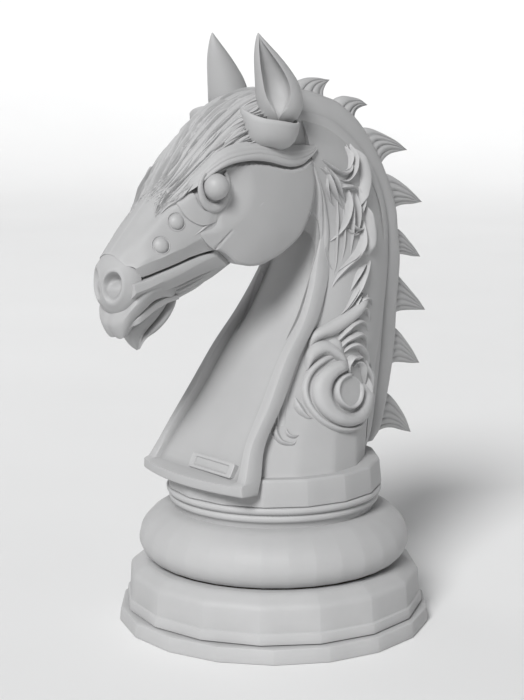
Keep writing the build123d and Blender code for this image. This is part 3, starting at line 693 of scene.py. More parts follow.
def scroll():
    """Rolled leaf with a bowl in its eye, fronds above it and strands round it."""
    shape = ring_leaf((29, 188), (42, 31.5), (36, 27), 100, 375, 4.5, pillow)
    shape.add(ring_leaf((30, 187), (35, 26), (18, 15.5), 80, 372, 8.0,
                        lambda w: max(0.0, 1 - abs(w + 0.1) ** 2.6) ** 0.6, 72, 15))
    shape.add(ring_leaf((30, 188), (16.5, 14.5), (11, 10.5), 60, 400, 5.5, pillow, 60, 9))
    bowl = []
    for k in range(8):
        share = 1 - k / 7.5
        lift = 2.8 - 1.6 * (1 - share) ** 0.6
        spots = [(30 + 12.5 * share * math.cos(a), 188 + 12 * share * math.sin(a)) for a in around(40)]
        bowl.append([on_side(NECK_TREE, y, z, lift)[0] for y, z in spots])
    shape.add(Shape().grid(bowl, wrap=True, cap=(False, True)))
    shape.add(leaf(NECK_TREE, [(-6, 207), (-3, 219), (4, 227), (14, 229), (23, 225), (30, 214), (32, 206)],
                   [(-4, 206), (0, 211), (5, 215), (13, 218), (20, 214), (26, 209), (31, 205)], 6.0, 30, 11,
                   lambda w: pillow(w) * (1 + 0.25 * w)))
    shape.add(leaf(NECK_TREE,
                   [(0, 222), (3, 232), (10, 238), (22, 243), (34, 248), (47, 254), (58, 259), (63, 262)],
                   [(2, 223), (7, 227), (14, 230), (24, 232), (36, 237), (47, 243), (56, 250), (61, 257)],
                   6.4, 34, 11))
    shape.add(leaf(NECK_TREE, [(4, 221), (12, 226), (24, 230), (30, 224)],
                   [(8, 219), (14, 217), (22, 216), (29, 212)], 4.4, 20, 9,
                   rise=lambda t: min(1, 3 * t + 0.2, 3 * (1 - t) + 0.3)))
    for line, width, height in (
        ([(24, 226), (31, 232), (40, 238), (50, 240), (57, 236), (61, 230)], 6.0, 6.2),
        ([(26, 221), (32, 226), (40, 229), (48, 230), (55, 225), (60, 216)], 6.0, 6.4),
        ([(29, 218), (36, 222), (43, 222), (50, 217), (57, 209), (60, 200)], 5.6, 6.8),
        ([(33, 201), (31, 208), (36, 213), (42, 212), (48, 212), (53, 205)], 5.0, 6.8),
        ([(38, 206), (42, 209), (47, 206), (50, 198), (53, 188)], 4.6, 6.4),
        ([(46, 246), (53, 250), (59, 246), (63, 238)], 3.6, 5.2),
        ([(50, 253), (56, 257), (63, 256), (68, 250)], 3.2, 4.6),
        ([(56, 208), (60, 196), (61, 182), (58, 168), (54, 158)], 6.4, 5.6),
        ([(52, 200), (55, 190), (55, 178), (52, 168), (46, 160)], 4.4, 6.6),
        ([(-18, 188), (-17, 180), (-13, 174), (-8, 172)], 7.0, 5.0),
        ([(64, 204), (68, 190), (68, 174), (62, 160)], 4.0, 4.6),
    ):
        shape.add(strand(NECK_TREE, line, width, height))
    return shape


make_pair("scroll", scroll(), "hair_plastic", HAIR, sharp=45)


def flame():
    """Licking tongues that climb the side of the neck, over two large blades."""
    def blade(w):
        return max(0.0, 1 - abs(w - 0.35) ** 1.5 / 1.57) ** 0.9

    shape = leaf(NECK_TREE, [(63, 374), (64, 366), (62, 354), (58, 342), (54, 329)],
                 [(63, 374), (71, 364), (73, 352), (66, 340), (54, 328)], 6.8, 34, 11, blade)
    shape.add(leaf(NECK_TREE, [(63, 331), (63, 318), (61, 304), (58, 292)],
                   [(63, 331), (69, 317), (71, 302), (64, 290)], 6.4, 30, 11, blade))
    for line, width, height in (
        ([(60, 318), (59, 306), (55, 296), (48, 289), (41, 283), (33, 275), (28, 268)], 7.5, 7.0),
        ([(56, 300), (50, 292), (42, 286), (34, 280)], 3.6, 7.2),
        ([(66, 286), (61, 280), (56, 274), (50, 264), (41, 253), (34, 247)], 5.0, 6.4),
        ([(61, 284), (54, 280), (48, 272), (43, 264)], 3.6, 5.4),
        ([(57, 272), (50, 266), (44, 259), (37, 251), (30, 246)], 3.0, 5.0),
        ([(19, 368), (25, 364), (32, 359), (40, 356), (48, 358), (52, 366), (54, 378)], 4.0, 5.6),
        ([(17, 362), (23, 358), (30, 352), (36, 348)], 3.4, 4.6),
        ([(58, 378), (59, 370), (55, 361), (50, 354), (43, 350), (35, 352)], 4.4, 6.0),
        ([(50, 376), (52, 368), (48, 360), (42, 358)], 3.0, 5.0),
        ([(22, 362), (26, 352), (31, 342), (37, 333), (41, 327)], 5.0, 6.0),
        ([(27, 360), (32, 350), (37, 341), (42, 333)], 3.2, 6.4),
        ([(43, 346), (45, 337), (44, 326), (41, 316), (35, 308), (29, 303)], 6.4, 6.6),
        ([(33, 345), (41, 346), (50, 345), (57, 341)], 4.4, 5.6),
        ([(34, 337), (35, 322), (35, 305), (34, 288), (30, 275)], 2.4, 3.4),
        ([(40, 330), (41, 316), (41, 300), (38, 286)], 2.2, 3.2),
        ([(48, 342), (48, 325), (48, 308), (46, 292)], 3.4, 5.0),
        ([(53, 340), (54, 326), (54, 314), (50, 306)], 3.2, 5.4),
        ([(46, 320), (51, 313), (58, 312), (60, 318)], 3.4, 5.2),
        ([(44, 313), (50, 308), (56, 309)], 2.8, 4.6),
        ([(58, 345), (60, 334), (58, 324), (55, 318)], 3.2, 5.2),
        ([(30, 306), (26, 300), (27, 290), (31, 280)], 2.6, 3.6),
        ([(56, 262), (50, 257), (45, 250), (40, 243)], 2.6, 3.6),
        ([(24, 356), (24, 346), (28, 336), (33, 330)], 2.2, 3.6),
    ):
        shape.add(strand(NECK_TREE, line, width, height))
    return shape


make_pair("flame", flame(), "hair_plastic", HAIR, sharp=45)


# ---------------------------------------------------------------- head

RAIL_Y = (-162, -156, -150, -140, -130, -120, -110, -100, -80, -50, -20, 8)
SIDE_Y = (-160, -154, -148, *RAIL_Y[3:])
LOW_Y = RAIL_Y[1:]
# stations, X and Z there, and how far back the front end leans; from the top of the nose round to below
RAILS = [
    (RAIL_Y, 0, (301, 306.8, 314, 325, 336, 347, 356, 361, 377, 400, 411, 409), 0),
    (RAIL_Y, (5.8, 6, 6.2, 6.5, 6.8, 7, 7.5, 9, 12, 16, 16, 12),
     (300, 306.2, 313.2, 324, 335, 345.5, 354, 360, 375, 398, 409, 407), 0),
    (RAIL_Y, (11, 12, 13, 14, 15.2, 16.2, 17.5, 19.5, 24, 28, 27, 22),
     (297.5, 303, 309.6, 320, 329, 338, 346, 352, 366, 388, 400, 400), 0.5),
    (RAIL_Y, (14.5, 15.8, 17.2, 19.6, 21.3, 22.8, 24.8, 27.5, 32, 34, 34, 31),
     (292, 297, 303, 315, 325, 333.5, 340, 346, 354, 360, 362, 366), 3),
    (SIDE_Y, (17.5, 19.2, 21.4, 25, 26.6, 28.3, 29.6, 31, 33, 35, 34.5, 31),
     (290, 294.5, 299, 304, 309, 314, 319, 324, 332, 334, 336, 350), 7),
    (LOW_Y, (19.6, 21.8, 25.6, 28.3, 29.8, 30.6, 31.6, 33.4, 35, 34, 30),
     (292.5, 296, 300.5, 303.5, 307, 310, 314, 320, 322, 324, 342), 8),
    (LOW_Y, (17.6, 19.4, 22.2, 24.2, 25.8, 26.6, 27.4, 29, 30, 28, 24),
     (286, 288.5, 290.5, 293.5, 296.5, 299.5, 302.5, 305.5, 303, 310, 337), 10),
    (LOW_Y, (10, 11, 12, 12, 12, 12, 12, 12, 12, 10, 8),
     (286, 289, 291, 294, 297, 300, 303, 305, 303, 310, 337), 10),
    (LOW_Y, 0, (286, 289, 291, 294, 297, 300, 303, 305, 303, 310, 337), 10),
]
SOFT_RAILS = 6             # the rails down to the bevel are joined by a soft curve, those below by flats


def head_section(corners):
    """Points across the head at one station, through its rail corners."""
    row = []
    for k, (a, b) in enumerate(zip(corners, corners[1:])):
        if k >= SOFT_RAILS - 1:
            shares = (0.0, 0.06, 0.5, 0.94) if k == SOFT_RAILS - 1 else (0.0, 0.5)
            row += [a + (b - a) * s for s in shares]
        else:
            shares = np.linspace(0, 1, 6, endpoint=False)
            straight = np.array([a + (b - a) * s for s in shares])
            row += list(through(corners[:SOFT_RAILS], k + shares) * 0.65 + straight * 0.35)
    return [*row, corners[-1]]


def head_half():
    """Left half of the head's skin, from a fold behind the muzzle to a tail inside the neck."""
    ys = np.concatenate([np.linspace(-157, -90, 52), np.linspace(-87, 8, 30)])
    lean = 1 - ease(-153, -118, ys)
    rails = [rail_at(rail, ys + back * lean) for *rail, back in RAILS]
    rows = [head_section(np.array(corners)) for corners in zip(*rails)]
    last = np.array(rows[-1])
    middle = np.array((0, 0, 370))
    for back, share in ((4, 0.95), (10, 0.84)):
        rows.append((last - middle) * (share, 1, share) + middle + (0, back, 0))
    fold = np.array(rows[0]) * (0.78, 1, 1)
    rows.insert(0, fold * (1, 1, 0.9) + np.array((0, 3.5, 28.5)))
    return rows


head_skin = Shape().grid(head_half())
HEAD_TREE = head_skin.tree()
make_pair("head_shell", head_skin, "shell_plastic", SHELL, sharp=34, wall=3)


def studs():
    """Domed studs with a rolled seat, two on each side of the face."""
    shape = Shape()
    for y, z in ((-115, 328.6), (-129, 312.4)):
        spot, normal = on_side(HEAD_TREE, y, z)
        u = normal.cross(Vector((0, 0, 1))).normalized()
        v = normal.cross(u)
        rows = []
        for radius, lift in ((7.2, -1.5), (7.2, -0.1), (6.9, 0.35), (6.4, 0.1), (5.9, -0.7), (5.7, 0.2),
                             (5.4, 1.1), (4.8, 2.0), (3.8, 2.8), (2.4, 3.4), (0.9, 3.7), (0.05, 3.75)):
            rows.append([spot + normal * lift + (u * math.cos(a) + v * math.sin(a)) * radius
                         for a in around(40)])
        shape.grid(rows, wrap=True, cap=(False, True))
    return both_sides(shape)


make("face_studs", studs(), "knight", "eye_plastic", EYES, sharp=50)


def muzzle():
    """Rounded nose cap: an egg-shaped front, hollow nostrils, and a rolled rear edge."""
    centre, sizes = np.array((0, -146.2, 283.6)), np.array((22.9, 18.0, 26.0))
    nostril, half_wide, half_tall = np.array((10.0, -162.3, 283.0)), 8.4, 11.6
    rear_y = -140
    out = (nostril - centre) / sizes ** 2
    out /= np.linalg.norm(out)
    lean = np.array((0.20, 0.25, 0.95))
    tall = lean - out * lean.dot(out)
    tall /= np.linalg.norm(tall)
    wide = np.cross(out, tall)

    def push(p):
        """How far the surface stands out at p: a raised rim, and a bowl that deepens upwards."""
        q = np.array((abs(p[0]), p[1], p[2])) - nostril
        a, b = q.dot(wide) / half_wide, q.dot(tall) / half_tall
        away = math.hypot(a, b)
        if away >= 1.6:
            return 0.0
        rim = 0.55 * math.exp(-((away - 1.16) / 0.20) ** 2)
        depth = 3.0 + 9.5 * ease(-0.3, 0.8, b + 0.3 * a) * ease(1.25, 0.3, away)
        return (rim - (1 - ease(0.84, 1.02, away)) * depth) * ease(0.0, 4.0, abs(p[0]))

    rows = []
    for k in range(84):
        back = k / 78
        row = []
        for turn in around(150):
            up = math.cos(turn)
            tip = min(back, 1) * math.radians(97 - 14 * ease(0.1, 1.0, up))
            ring = math.sin(tip)
            squash = (abs(math.cos(tip)) ** 2.15 + abs(ring) ** 2.15) ** (-1 / 2.15)
            p = centre + sizes * np.array((ring * math.sin(turn), -math.cos(tip), ring * up)) * squash
            p[0] *= 1 - 0.10 * ease(-4, -26, p[2] - centre[2])
            if back > 1:
                p = centre + (p - centre) * (1 - (back - 1) * 1.9)
            n = (p - centre) / sizes ** 2
            x, y, z = p + n / np.linalg.norm(n) * push(p)
            row.append((x, min(y, rear_y), z))
        rows.append(row)
    return Shape().grid(rows, wrap=True)


make("muzzle", muzzle(), "knight", "shell_plastic", SHELL, sharp=50)

# upper edge, crest, lower edge and inside (X, Y, Z), from the front middle round to the corner
LIP = [
    ((0, -153, 267), (0, -159, 255), (0, -152.5, 244), (0, -143, 250)),
    ((4.5, -153, 267), (5.5, -159.5, 255), (5, -152.5, 243.2), (5, -143, 250)),
    ((9.5, -152.5, 267), (10.6, -158, 256), (9.5, -152, 244.6), (8, -143, 251)),
    ((13.5, -151, 268), (15.4, -155.5, 259), (13.5, -151, 251), (10, -142, 254)),
    ((17.5, -148.5, 272), (19.6, -152.5, 265), (17, -149.5, 257.5), (12, -141, 257)),
    ((20.5, -144.5, 278), (23.2, -146.5, 272.6), (19.4, -144, 263), (13, -139, 261)),
    ((22, -138, 281.5), (24.6, -139.5, 277.4), (20, -138, 267.4), (13, -134, 265)),
    ((22, -131, 283.5), (24.2, -131.5, 279.8), (19.8, -130.5, 272), (13, -128, 269)),
    ((21, -124, 284), (22.4, -123.5, 280.4), (19, -122, 273.4), (12.5, -121, 271)),
    ((19.6, -116.5, 281.8), (20.2, -116, 279), (18, -115, 272.4), (12, -114, 271.5)),
    ((16.4, -109, 278), (16.6, -109, 276), (15.8, -110, 272), (11, -110, 272)),
]


def lip():
    """Left half of the upper lip: a roll that hangs at the front and thins out along the mouth."""
    rows = []
    for corners in through(LIP, np.linspace(0, len(LIP) - 1, 64)):
        closed = [corners[-1], *corners, corners[0], corners[1]]
        ring = []
        for k in range(4):
            a, b, c, d = closed[k:k + 4]
            for t in (0.0, 0.25, 0.5, 0.75):
                bend = 0.5 * (2 * b + (c - a) * t + (2 * a - 5 * b + 4 * c - d) * t ** 2
                              + (3 * b - 3 * c + d - a) * t ** 3)
                ring.append(bend * 0.6 + (b + (c - b) * t) * 0.4)
        rows.append(ring)
    return both_sides(Shape().grid(rows, wrap=True, cap=(False, True)))


make("upper_lip", lip(), "knight", "shell_plastic", SHELL, sharp=45)


def inflated(front, rear, thick, steps, across):
    """A leaf between two (Y, Z) edges, symmetric about X = 0; thick(t, w) is half its width."""
    a, b = path(front, steps), path(rear, steps)
    loops = []
    for i in range(steps):
        half = []
        for w in np.linspace(-1, 1, across):
            half.append((max(thick(i / (steps - 1), w), 0.05), *(a[i] + (b[i] - a[i]) * (w + 1) / 2)))
        loops.append(half + [(-x, y, z) for x, y, z in reversed(half)])
    return Shape().grid(loops, wrap=True, cap=(True, True))


def chin():
    """Pointed lower lip with a cleft down each side, and the gum behind it."""
    def lip_thick(t, w):
        full = 10.0 + 3.2 * ease(0.0, 0.55, w) - 6.0 * t ** 1.6
        cleft = 3.6 * math.exp(-((w - 0.04 - 0.40 * t) / 0.085) ** 2) * (1 - ease(0.6, 0.98, t))
        return full * max(0.0, 1 - abs(w) ** 6) ** 0.5 * max(0.0, 1 - t ** 9) ** 0.5 + 0.1 - cleft

    def gum_thick(t, w):
        return (18.8 - 2.0 * t - 5.0 * ease(0.2, 0.0, t)) * max(0.0, 1 - abs(w) ** 8) ** 0.4 + 0.1

    lower_lip = inflated(
        [(-114, 270), (-122, 265), (-133, 258), (-143, 251), (-143.5, 244), (-139, 237), (-133.5, 232)],
        [(-103, 270), (-105, 262), (-110.5, 253), (-119, 245.5), (-127, 242), (-131, 238), (-132.8, 232)],
        lip_thick, 40, 41)
    gum = inflated([(-152, 255), (-140, 264), (-128, 270), (-116, 273), (-106, 273)],
                   [(-150, 250.6), (-138.2, 256.6), (-126.4, 262.8), (-117.0, 266.4), (-106, 269)],
                   gum_thick, 26, 15)
    return lower_lip.add(gum)


make("chin", chin(), "knight", "shell_plastic", SHELL, sharp=50)

JAW_Y = (-152, -140, -130, -120, -110, -100, -90, -80, -70, -60, -46)
# X and Z at each station, and how far back the rear end leans: top edge, fold, low edge, tuck, strand, belly
JAW = [
    ((24.6, 25.4, 26, 26.6, 27.2, 27.8, 28.3, 28.8, 29, 28.6, 26),
     (285.6, 288, 291, 294, 297, 300, 302.4, 303, 301, 298, 294), 0),
    ((26, 26.6, 27, 27.5, 28, 28.6, 29.2, 29.4, 29.4, 28.8, 26),
     (278.5, 281.5, 284.8, 287.6, 291, 295, 298.6, 300.6, 298.5, 296, 292.5), 3),
    ((18, 19.5, 20.5, 21.5, 22.5, 23.4, 24.4, 25.2, 26, 26.2, 24),
     (273, 275, 276.5, 278.4, 281, 284.4, 287.6, 290.4, 292.5, 293.5, 291), 15),
    ((14, 15, 16, 17, 18, 19, 20, 21, 22, 22.5, 21),
     (274, 276, 277, 279, 281, 284, 286.6, 289, 291, 292, 290.5), 16),
    ((12, 12.5, 13, 13.5, 14.5, 15.5, 16.5, 17.4, 18.2, 19, 18),
     (270, 272, 272, 272.5, 273.5, 276, 278.6, 281.4, 286, 292, 299), 26),
    ((3, 3, 3, 3, 3.5, 4, 4, 4, 4, 4, 4),
     (266, 266, 265, 264, 264, 267, 270.4, 274, 279.6, 288, 298), 40),
]


def lower_jaw():
    """Jaw with folds along its side, a tongue between its top edges, and a rear end inside the cheeks."""
    ys = np.linspace(JAW_Y[0], -83, 60)
    lean = ease(-118, -83, ys)
    rails = [rail_at((JAW_Y, xs, zs), ys + back * lean) for xs, zs, back in JAW]
    rows = []
    for c in zip(*rails):
        tongue = c[0] + (0, 0, 6.5)
        row = [tongue * (0, 1, 1), tongue - (8.5, 0, 0)]
        row += [c[0] - step for step in ((8, 0, 0), (0.9, 0, 0), (0, 0, 0.4))]
        row += [a + (b - a) * s for a, b in zip(c, c[1:]) for s in (0.08, 0.5, 0.92)]
        rows.append([*row, c[-1], np.array((0, c[-1][1], c[-1][2] - 0.6))])
    rear = np.array(rows[-1])
    for back, share in ((4, 0.9), (9, 0.78)):
        rows.append(rear * (share, 1, 1) + (0, back, 1.1 * back))
    jaw = Shape().grid(rows, cap=(True, True))
    tree = jaw.tree()
    for line, width in (([(-112, 277.4), (-98, 281.6), (-86, 286), (-74, 289.6)], 2.6),
                        ([(-116, 274), (-104, 276.4), (-92, 281), (-80, 286)], 2.4),
                        ([(-112, 270.6), (-102, 272.6), (-92, 276.6), (-82, 281.4)], 2.2)):
        jaw.add(strand(tree, line, width, 1.7))
    return both_sides(jaw)


make("lower_jaw", lower_jaw(), "knight", "shell_plastic", SHELL, sharp=30)

# ---------------------------------------------------------------- cheek, eye and brow

# lower edge, bulge and upper edge (X, Y, Z), from the front to the tail
BROW = [
    ((23.5, -121.5, 335), (23, -120.6, 337), (18, -119.6, 338)),
    ((25.2, -116.5, 339), (24.6, -115, 342.4), (19.5, -113, 344.5)),
    ((27.8, -109.5, 345), (27.4, -107.6, 349.2), (21.5, -106, 352)),
    ((30.6, -103, 351), (30.4, -101, 355.8), (24.5, -100, 360)),
    ((33.8, -95.5, 357.4), (33.6, -93.6, 362.6), (28, -93, 367.5)),
    ((36.4, -87, 363.4), (36.4, -85, 369), (31, -85, 375)),
    ((38, -78, 367.6), (38.6, -76, 373.5), (33, -76, 380.5)),
    ((39.5, -66, 370.5), (40, -64, 376), (34, -64, 384)),
    ((40, -50, 371), (40.5, -48, 377), (35, -48, 384)),
    ((40, -36, 369), (40.5, -34, 375), (35, -34, 382)),
    ((39.5, -24, 366), (40, -23, 372), (35, -22, 380)),
    ((38.5, -13, 364.5), (39, -12, 371), (34, -12, 380)),
    ((37, -2, 366), (37.5, -1, 372), (33, 0, 380)),
    ((35.5, 7, 371), (36, 8, 374), (32, 9, 379)),
    ((33.5, 14, 376.5), (34, 14, 377.5), (31, 14, 379)),
]
# rim (Y, Z), from the lower front backwards and round
CHEEK = [
    (-97, 317.5), (-92, 311.5), (-86, 306.8), (-79.5, 305), (-73, 301), (-66, 295.4), (-58, 292.4),
    (-50, 291.4), (-41, 292), (-31, 295), (-23, 298), (-14, 303), (-4, 310), (3, 319), (9, 332),
    (12, 344), (12, 354), (10, 364), (6, 374), (-6, 383), (-30, 386), (-56, 382), (-76, 374),
    (-88, 362), (-94, 345), (-97, 330),
]
CHEEK_MIDDLE = np.array((-58, 328))
CREASE = np.array(((-84.5, 307.5), (-71.5, 319.5)))    # ends of the short crease above the jaw
EYE = np.array((34.8, -85.2, 353.0))
EYE_R = 10.0


def cheek_x(y, z, share):
    """How far out the cheek stands at (Y, Z); share is 0 at its middle and 1 at its rim."""
    dome = 40.9 - 5.0 * share ** 2.4 - 1.2 * ease(0.93, 1.0, share) ** 2
    ramp = 33.0 + max(0.0, y + 97) * 0.15
    blend = 1.6
    x = -blend * math.log(math.exp(-dome / blend) + math.exp(-ramp / blend))
    under_brow = np.interp(y, [row[0][1] for row in BROW], [row[0][2] for row in BROW])
    x -= 5.0 * ease(under_brow - 3.4, under_brow - 1.2, z)
    x -= 6.0 * ease(-78, -95, y) * ease(318, 327, z) * ease(352, 342, z)
    x -= 4.2 * (1 - ease(10, 33, math.hypot(y + 83, z - 352))) * ease(-97, -88, y)
    spot = np.array((y, z))
    run = CREASE[1] - CREASE[0]
    t = np.clip(np.dot(spot - CREASE[0], run) / run.dot(run), 0, 1)
    away = np.linalg.norm(spot - CREASE[0] - run * t)
    return x - 1.5 * (1 - t * 0.6) * math.exp(-(away / 0.75) ** 2)


def cheek():
    """Large disc with a rolled rim, hollowed around the eye and under the brow."""
    rim = path([*CHEEK, CHEEK[0]], 221)[:-1]
    rows = [[(22, y, z) for y, z in rim]]
    for share in (1.0, 0.994, 0.985, 0.97, *np.linspace(0.95, 0.02, 46)):
        rows.append([(cheek_x(y, z, share), y, z) for y, z in CHEEK_MIDDLE + (rim - CHEEK_MIDDLE) * share])
    return Shape().grid(rows, wrap=True, cap=(False, True))


def eyeball():
    """Plain ball, a little longer outwards."""
    rows = []
    for tip in np.radians(np.linspace(112, 0.5, 30)):
        r = EYE_R * math.sin(tip)
        x = EYE[0] + 1.02 * EYE_R * math.cos(tip)
        rows.append([(x, EYE[1] + r * math.cos(a), EYE[2] + r * math.sin(a)) for a in around(48)])
    return Shape().grid(rows, wrap=True, cap=(True, True))


def eye_ring():
    """Socket rim below the eye, and the raised pad under it."""
    rows = []
    for a in np.radians(np.linspace(130, 400, 70)):
        fade = 0.55 + 0.45 * ease(-0.6, 0.5, -math.sin(a))
        drop = 1.22 if a > math.pi else 1.02
        section = []
        for b in around(12):
            r = 12.9 + 2.9 * fade * math.cos(b)
            x = 33.4 + 2.0 * fade * math.sin(b)
            section.append((x, EYE[1] + r * math.cos(a), EYE[2] + r * drop * math.sin(a)))
        rows.append(section)
    shape = Shape().grid(rows, wrap=True, cap=(True, True))
    outer = [(-113.5, 349), (-112.5, 340), (-108, 331), (-100, 325.5), (-92, 324.5), (-84, 326.5)]
    inner = [(-98, 358), (-99.5, 349), (-98, 341), (-94, 336), (-88, 335), (-82, 336)]
    shape.add(leaf(HEAD_TREE, outer, inner, 1.9, 30, 15, lambda w: ease(-1.0, -0.86, w),
                   lambda t: 1 - 0.5 * ease(0.8, 1, t)))
    shape.add(strand(HEAD_TREE, [(-84, 328), (-91, 325), (-97, 321), (-104, 317)], 2.4, 1.5))
    return shape


def brow():
    """Long heavy brow: laid on the face in front, and standing over the cheek behind the eye."""
    rows = []
    for corners in through(BROW, np.linspace(0, len(BROW) - 1, 90)):
        stand = ease(-120, -97, corners[0][1])
        low, bulge, high = corners
        for corner, off in zip(corners, (-0.2, 0.5, -0.6)):
            laid = on_side(HEAD_TREE, corner[1], corner[2])[0][0] + off
            corner[0] = laid + (corner[0] - laid) * stand
        nose = low * 0.5 + bulge * 0.5 + np.array((0.9, 0, -0.9)) * (0.15 + 0.85 * stand)
        upper = bulge * 0.45 + high * 0.55 + (1.0, 0, 0.3)
        curve = through([low + (0, 0, -0.2), nose, bulge, upper, high], np.linspace(0, 4, 17))
        curve[[7, 10, 13], 0] -= (0.5, 0.45, 0.4)
        rows.append([low + (-11, 0, 2.5), low - (1.4, 0, 0.3), *curve, high + (-8.0, 0, -2.5)])
    return Shape().grid(rows, wrap=True, cap=(True, True))


make_pair("cheek", cheek(), "shell_plastic", SHELL, sharp=40)
make_pair("eye", eyeball(), "eye_plastic", EYES, sharp=60)
make_pair("eye_ring", eye_ring(), "eye_plastic", SHELL, sharp=45)
make_pair("brow", brow(), "trim_plastic", TRIM, sharp=45)


# ---------------------------------------------------------------- forelock

# Y, then half-section corners (X, Z) from the middle of the top down to the brow
FORELOCK = [
    (14, (0, 416), (9, 415), (15, 408), (18, 403)),
    (-12, (0, 419), (15, 418), (27, 405), (31, 394)),
    (-34, (0, 415), (17, 414), (29, 400), (34, 385)),
    (-53, (0, 408), (17, 406), (29, 394), (34, 381)),
    (-70, (0, 397), (15, 394), (27, 384), (33, 376)),
    (-84, (0, 383), (13, 380), (25, 373), (31, 368)),
    (-98, (0, 368), (10, 365), (21, 359), (29, 358)),
    (-110, (0, 355), (8, 353), (17, 348), (26, 346)),
    (-120, (0, 346), (6, 344), (14, 339.5), (20, 338)),
    (-131, (0, 332), (5, 331), (11, 328), (16, 324)),
]
def hair_surface(rows=141, columns=161):
    """Points and outward normals of the hair over u (poll to nose) and v (-1 to 1 across)."""
    table = np.array([[(x, y, z) for x, z in corners] for y, *corners in FORELOCK], float)
    sections = through(table, np.linspace(0, len(FORELOCK) - 1, rows))
    half = np.array([through(section, np.linspace(0, 3, columns // 2 + 1)) for section in sections])
    points = np.concatenate([half[:, :0:-1] * (-1, 1, 1), half], axis=1)
    normals = np.cross(np.gradient(points, axis=0), np.gradient(points, axis=1))
    normals /= np.linalg.norm(normals, axis=2, keepdims=True) + 1e-9
    normals *= np.where(normals[:, :, 2:] < 0, -1, 1)
    return points, normals


HAIR_POINTS, HAIR_NORMALS = hair_surface()


def lock_point(u, v, lift=0.0):
    """Point on the forelock: u goes from the poll (0) to the nose (1), v from one brow (-1) to the other."""
    rows, columns = HAIR_POINTS.shape[:2]
    a = min(max(u, 0.0), 1.0) * (rows - 1)
    b = (min(max(v, -1.0), 1.0) + 1) / 2 * (columns - 1)
    i, j = min(int(a), rows - 2), min(int(b), columns - 2)
    fa, fb = a - i, b - j
    parts = []
    for table in (HAIR_POINTS, HAIR_NORMALS):
        near = table[i, j] * (1 - fb) + table[i, j + 1] * fb
        far = table[i + 1, j] * (1 - fb) + table[i + 1, j + 1] * fb
        parts.append(near * (1 - fa) + far * fa)
    return parts[0] + parts[1] * lift


def lock(line, width, height, steps=26, across=7, sway=0.0):
    """A hair lock on the forelock along a (u, v) line; width is a share of v."""
    rows = []
    for i, (u, v) in enumerate(path(line, steps)):
        t = i / (steps - 1)
        full = min(1, (t + 0.08) / 0.22, (1 - t + 0.03) / 0.45) ** 0.8
        half = width * full / 2
        row = []
        for w in np.linspace(-1, 1, across):
            rise = max(0.0, 1 - abs(w - sway) ** 1.7 / (1 + abs(sway)) ** 1.7)
            row.append(lock_point(u, v + w * half, height * full * rise - 0.3))
        row += [lock_point(u, v + w * half, -1.6) for w in (0.8, -0.8)]
        rows.append(row)
    return Shape().grid(rows, wrap=True, cap=(True, True))


# combed locks on each side: (u, v) line, width and height
SIDE_LOCKS = [
    ([(0.02, 0.06), (0.3, 0.10), (0.6, 0.10), (0.86, 0.12)], 0.20, 3.0),
    ([(0.0, 0.22), (0.25, 0.27), (0.5, 0.30), (0.74, 0.26), (0.92, 0.22)], 0.20, 3.2),
    ([(0.04, 0.38), (0.3, 0.42), (0.55, 0.46), (0.8, 0.44), (1.0, 0.38)], 0.18, 3.0),
    ([(0.12, 0.50), (0.35, 0.54), (0.6, 0.60), (0.85, 0.60), (1.0, 0.62)], 0.17, 2.8),
    ([(0.30, 0.58), (0.45, 0.66), (0.62, 0.74), (0.82, 0.76), (0.96, 0.80)], 0.16, 2.8),
    ([(0.34, 0.70), (0.46, 0.78), (0.60, 0.86), (0.76, 0.90)], 0.15, 2.6),
    ([(0.32, 0.82), (0.42, 0.88), (0.55, 0.94), (0.68, 0.97)], 0.13, 2.4),
    ([(0.10, 0.14), (0.35, 0.18), (0.6, 0.20), (0.8, 0.18)], 0.09, 4.0),
    ([(0.14, 0.32), (0.4, 0.36), (0.62, 0.38), (0.88, 0.33)], 0.09, 4.0),
    ([(0.2, 0.46), (0.42, 0.50), (0.66, 0.53), (0.92, 0.50)], 0.08, 3.8),
    ([(0.36, 0.62), (0.52, 0.69), (0.7, 0.70), (0.9, 0.70)], 0.08, 3.6),
    ([(0.40, 0.74), (0.52, 0.81), (0.68, 0.83), (0.86, 0.86)], 0.07, 3.2),
]
STRAY_LOCKS = 84


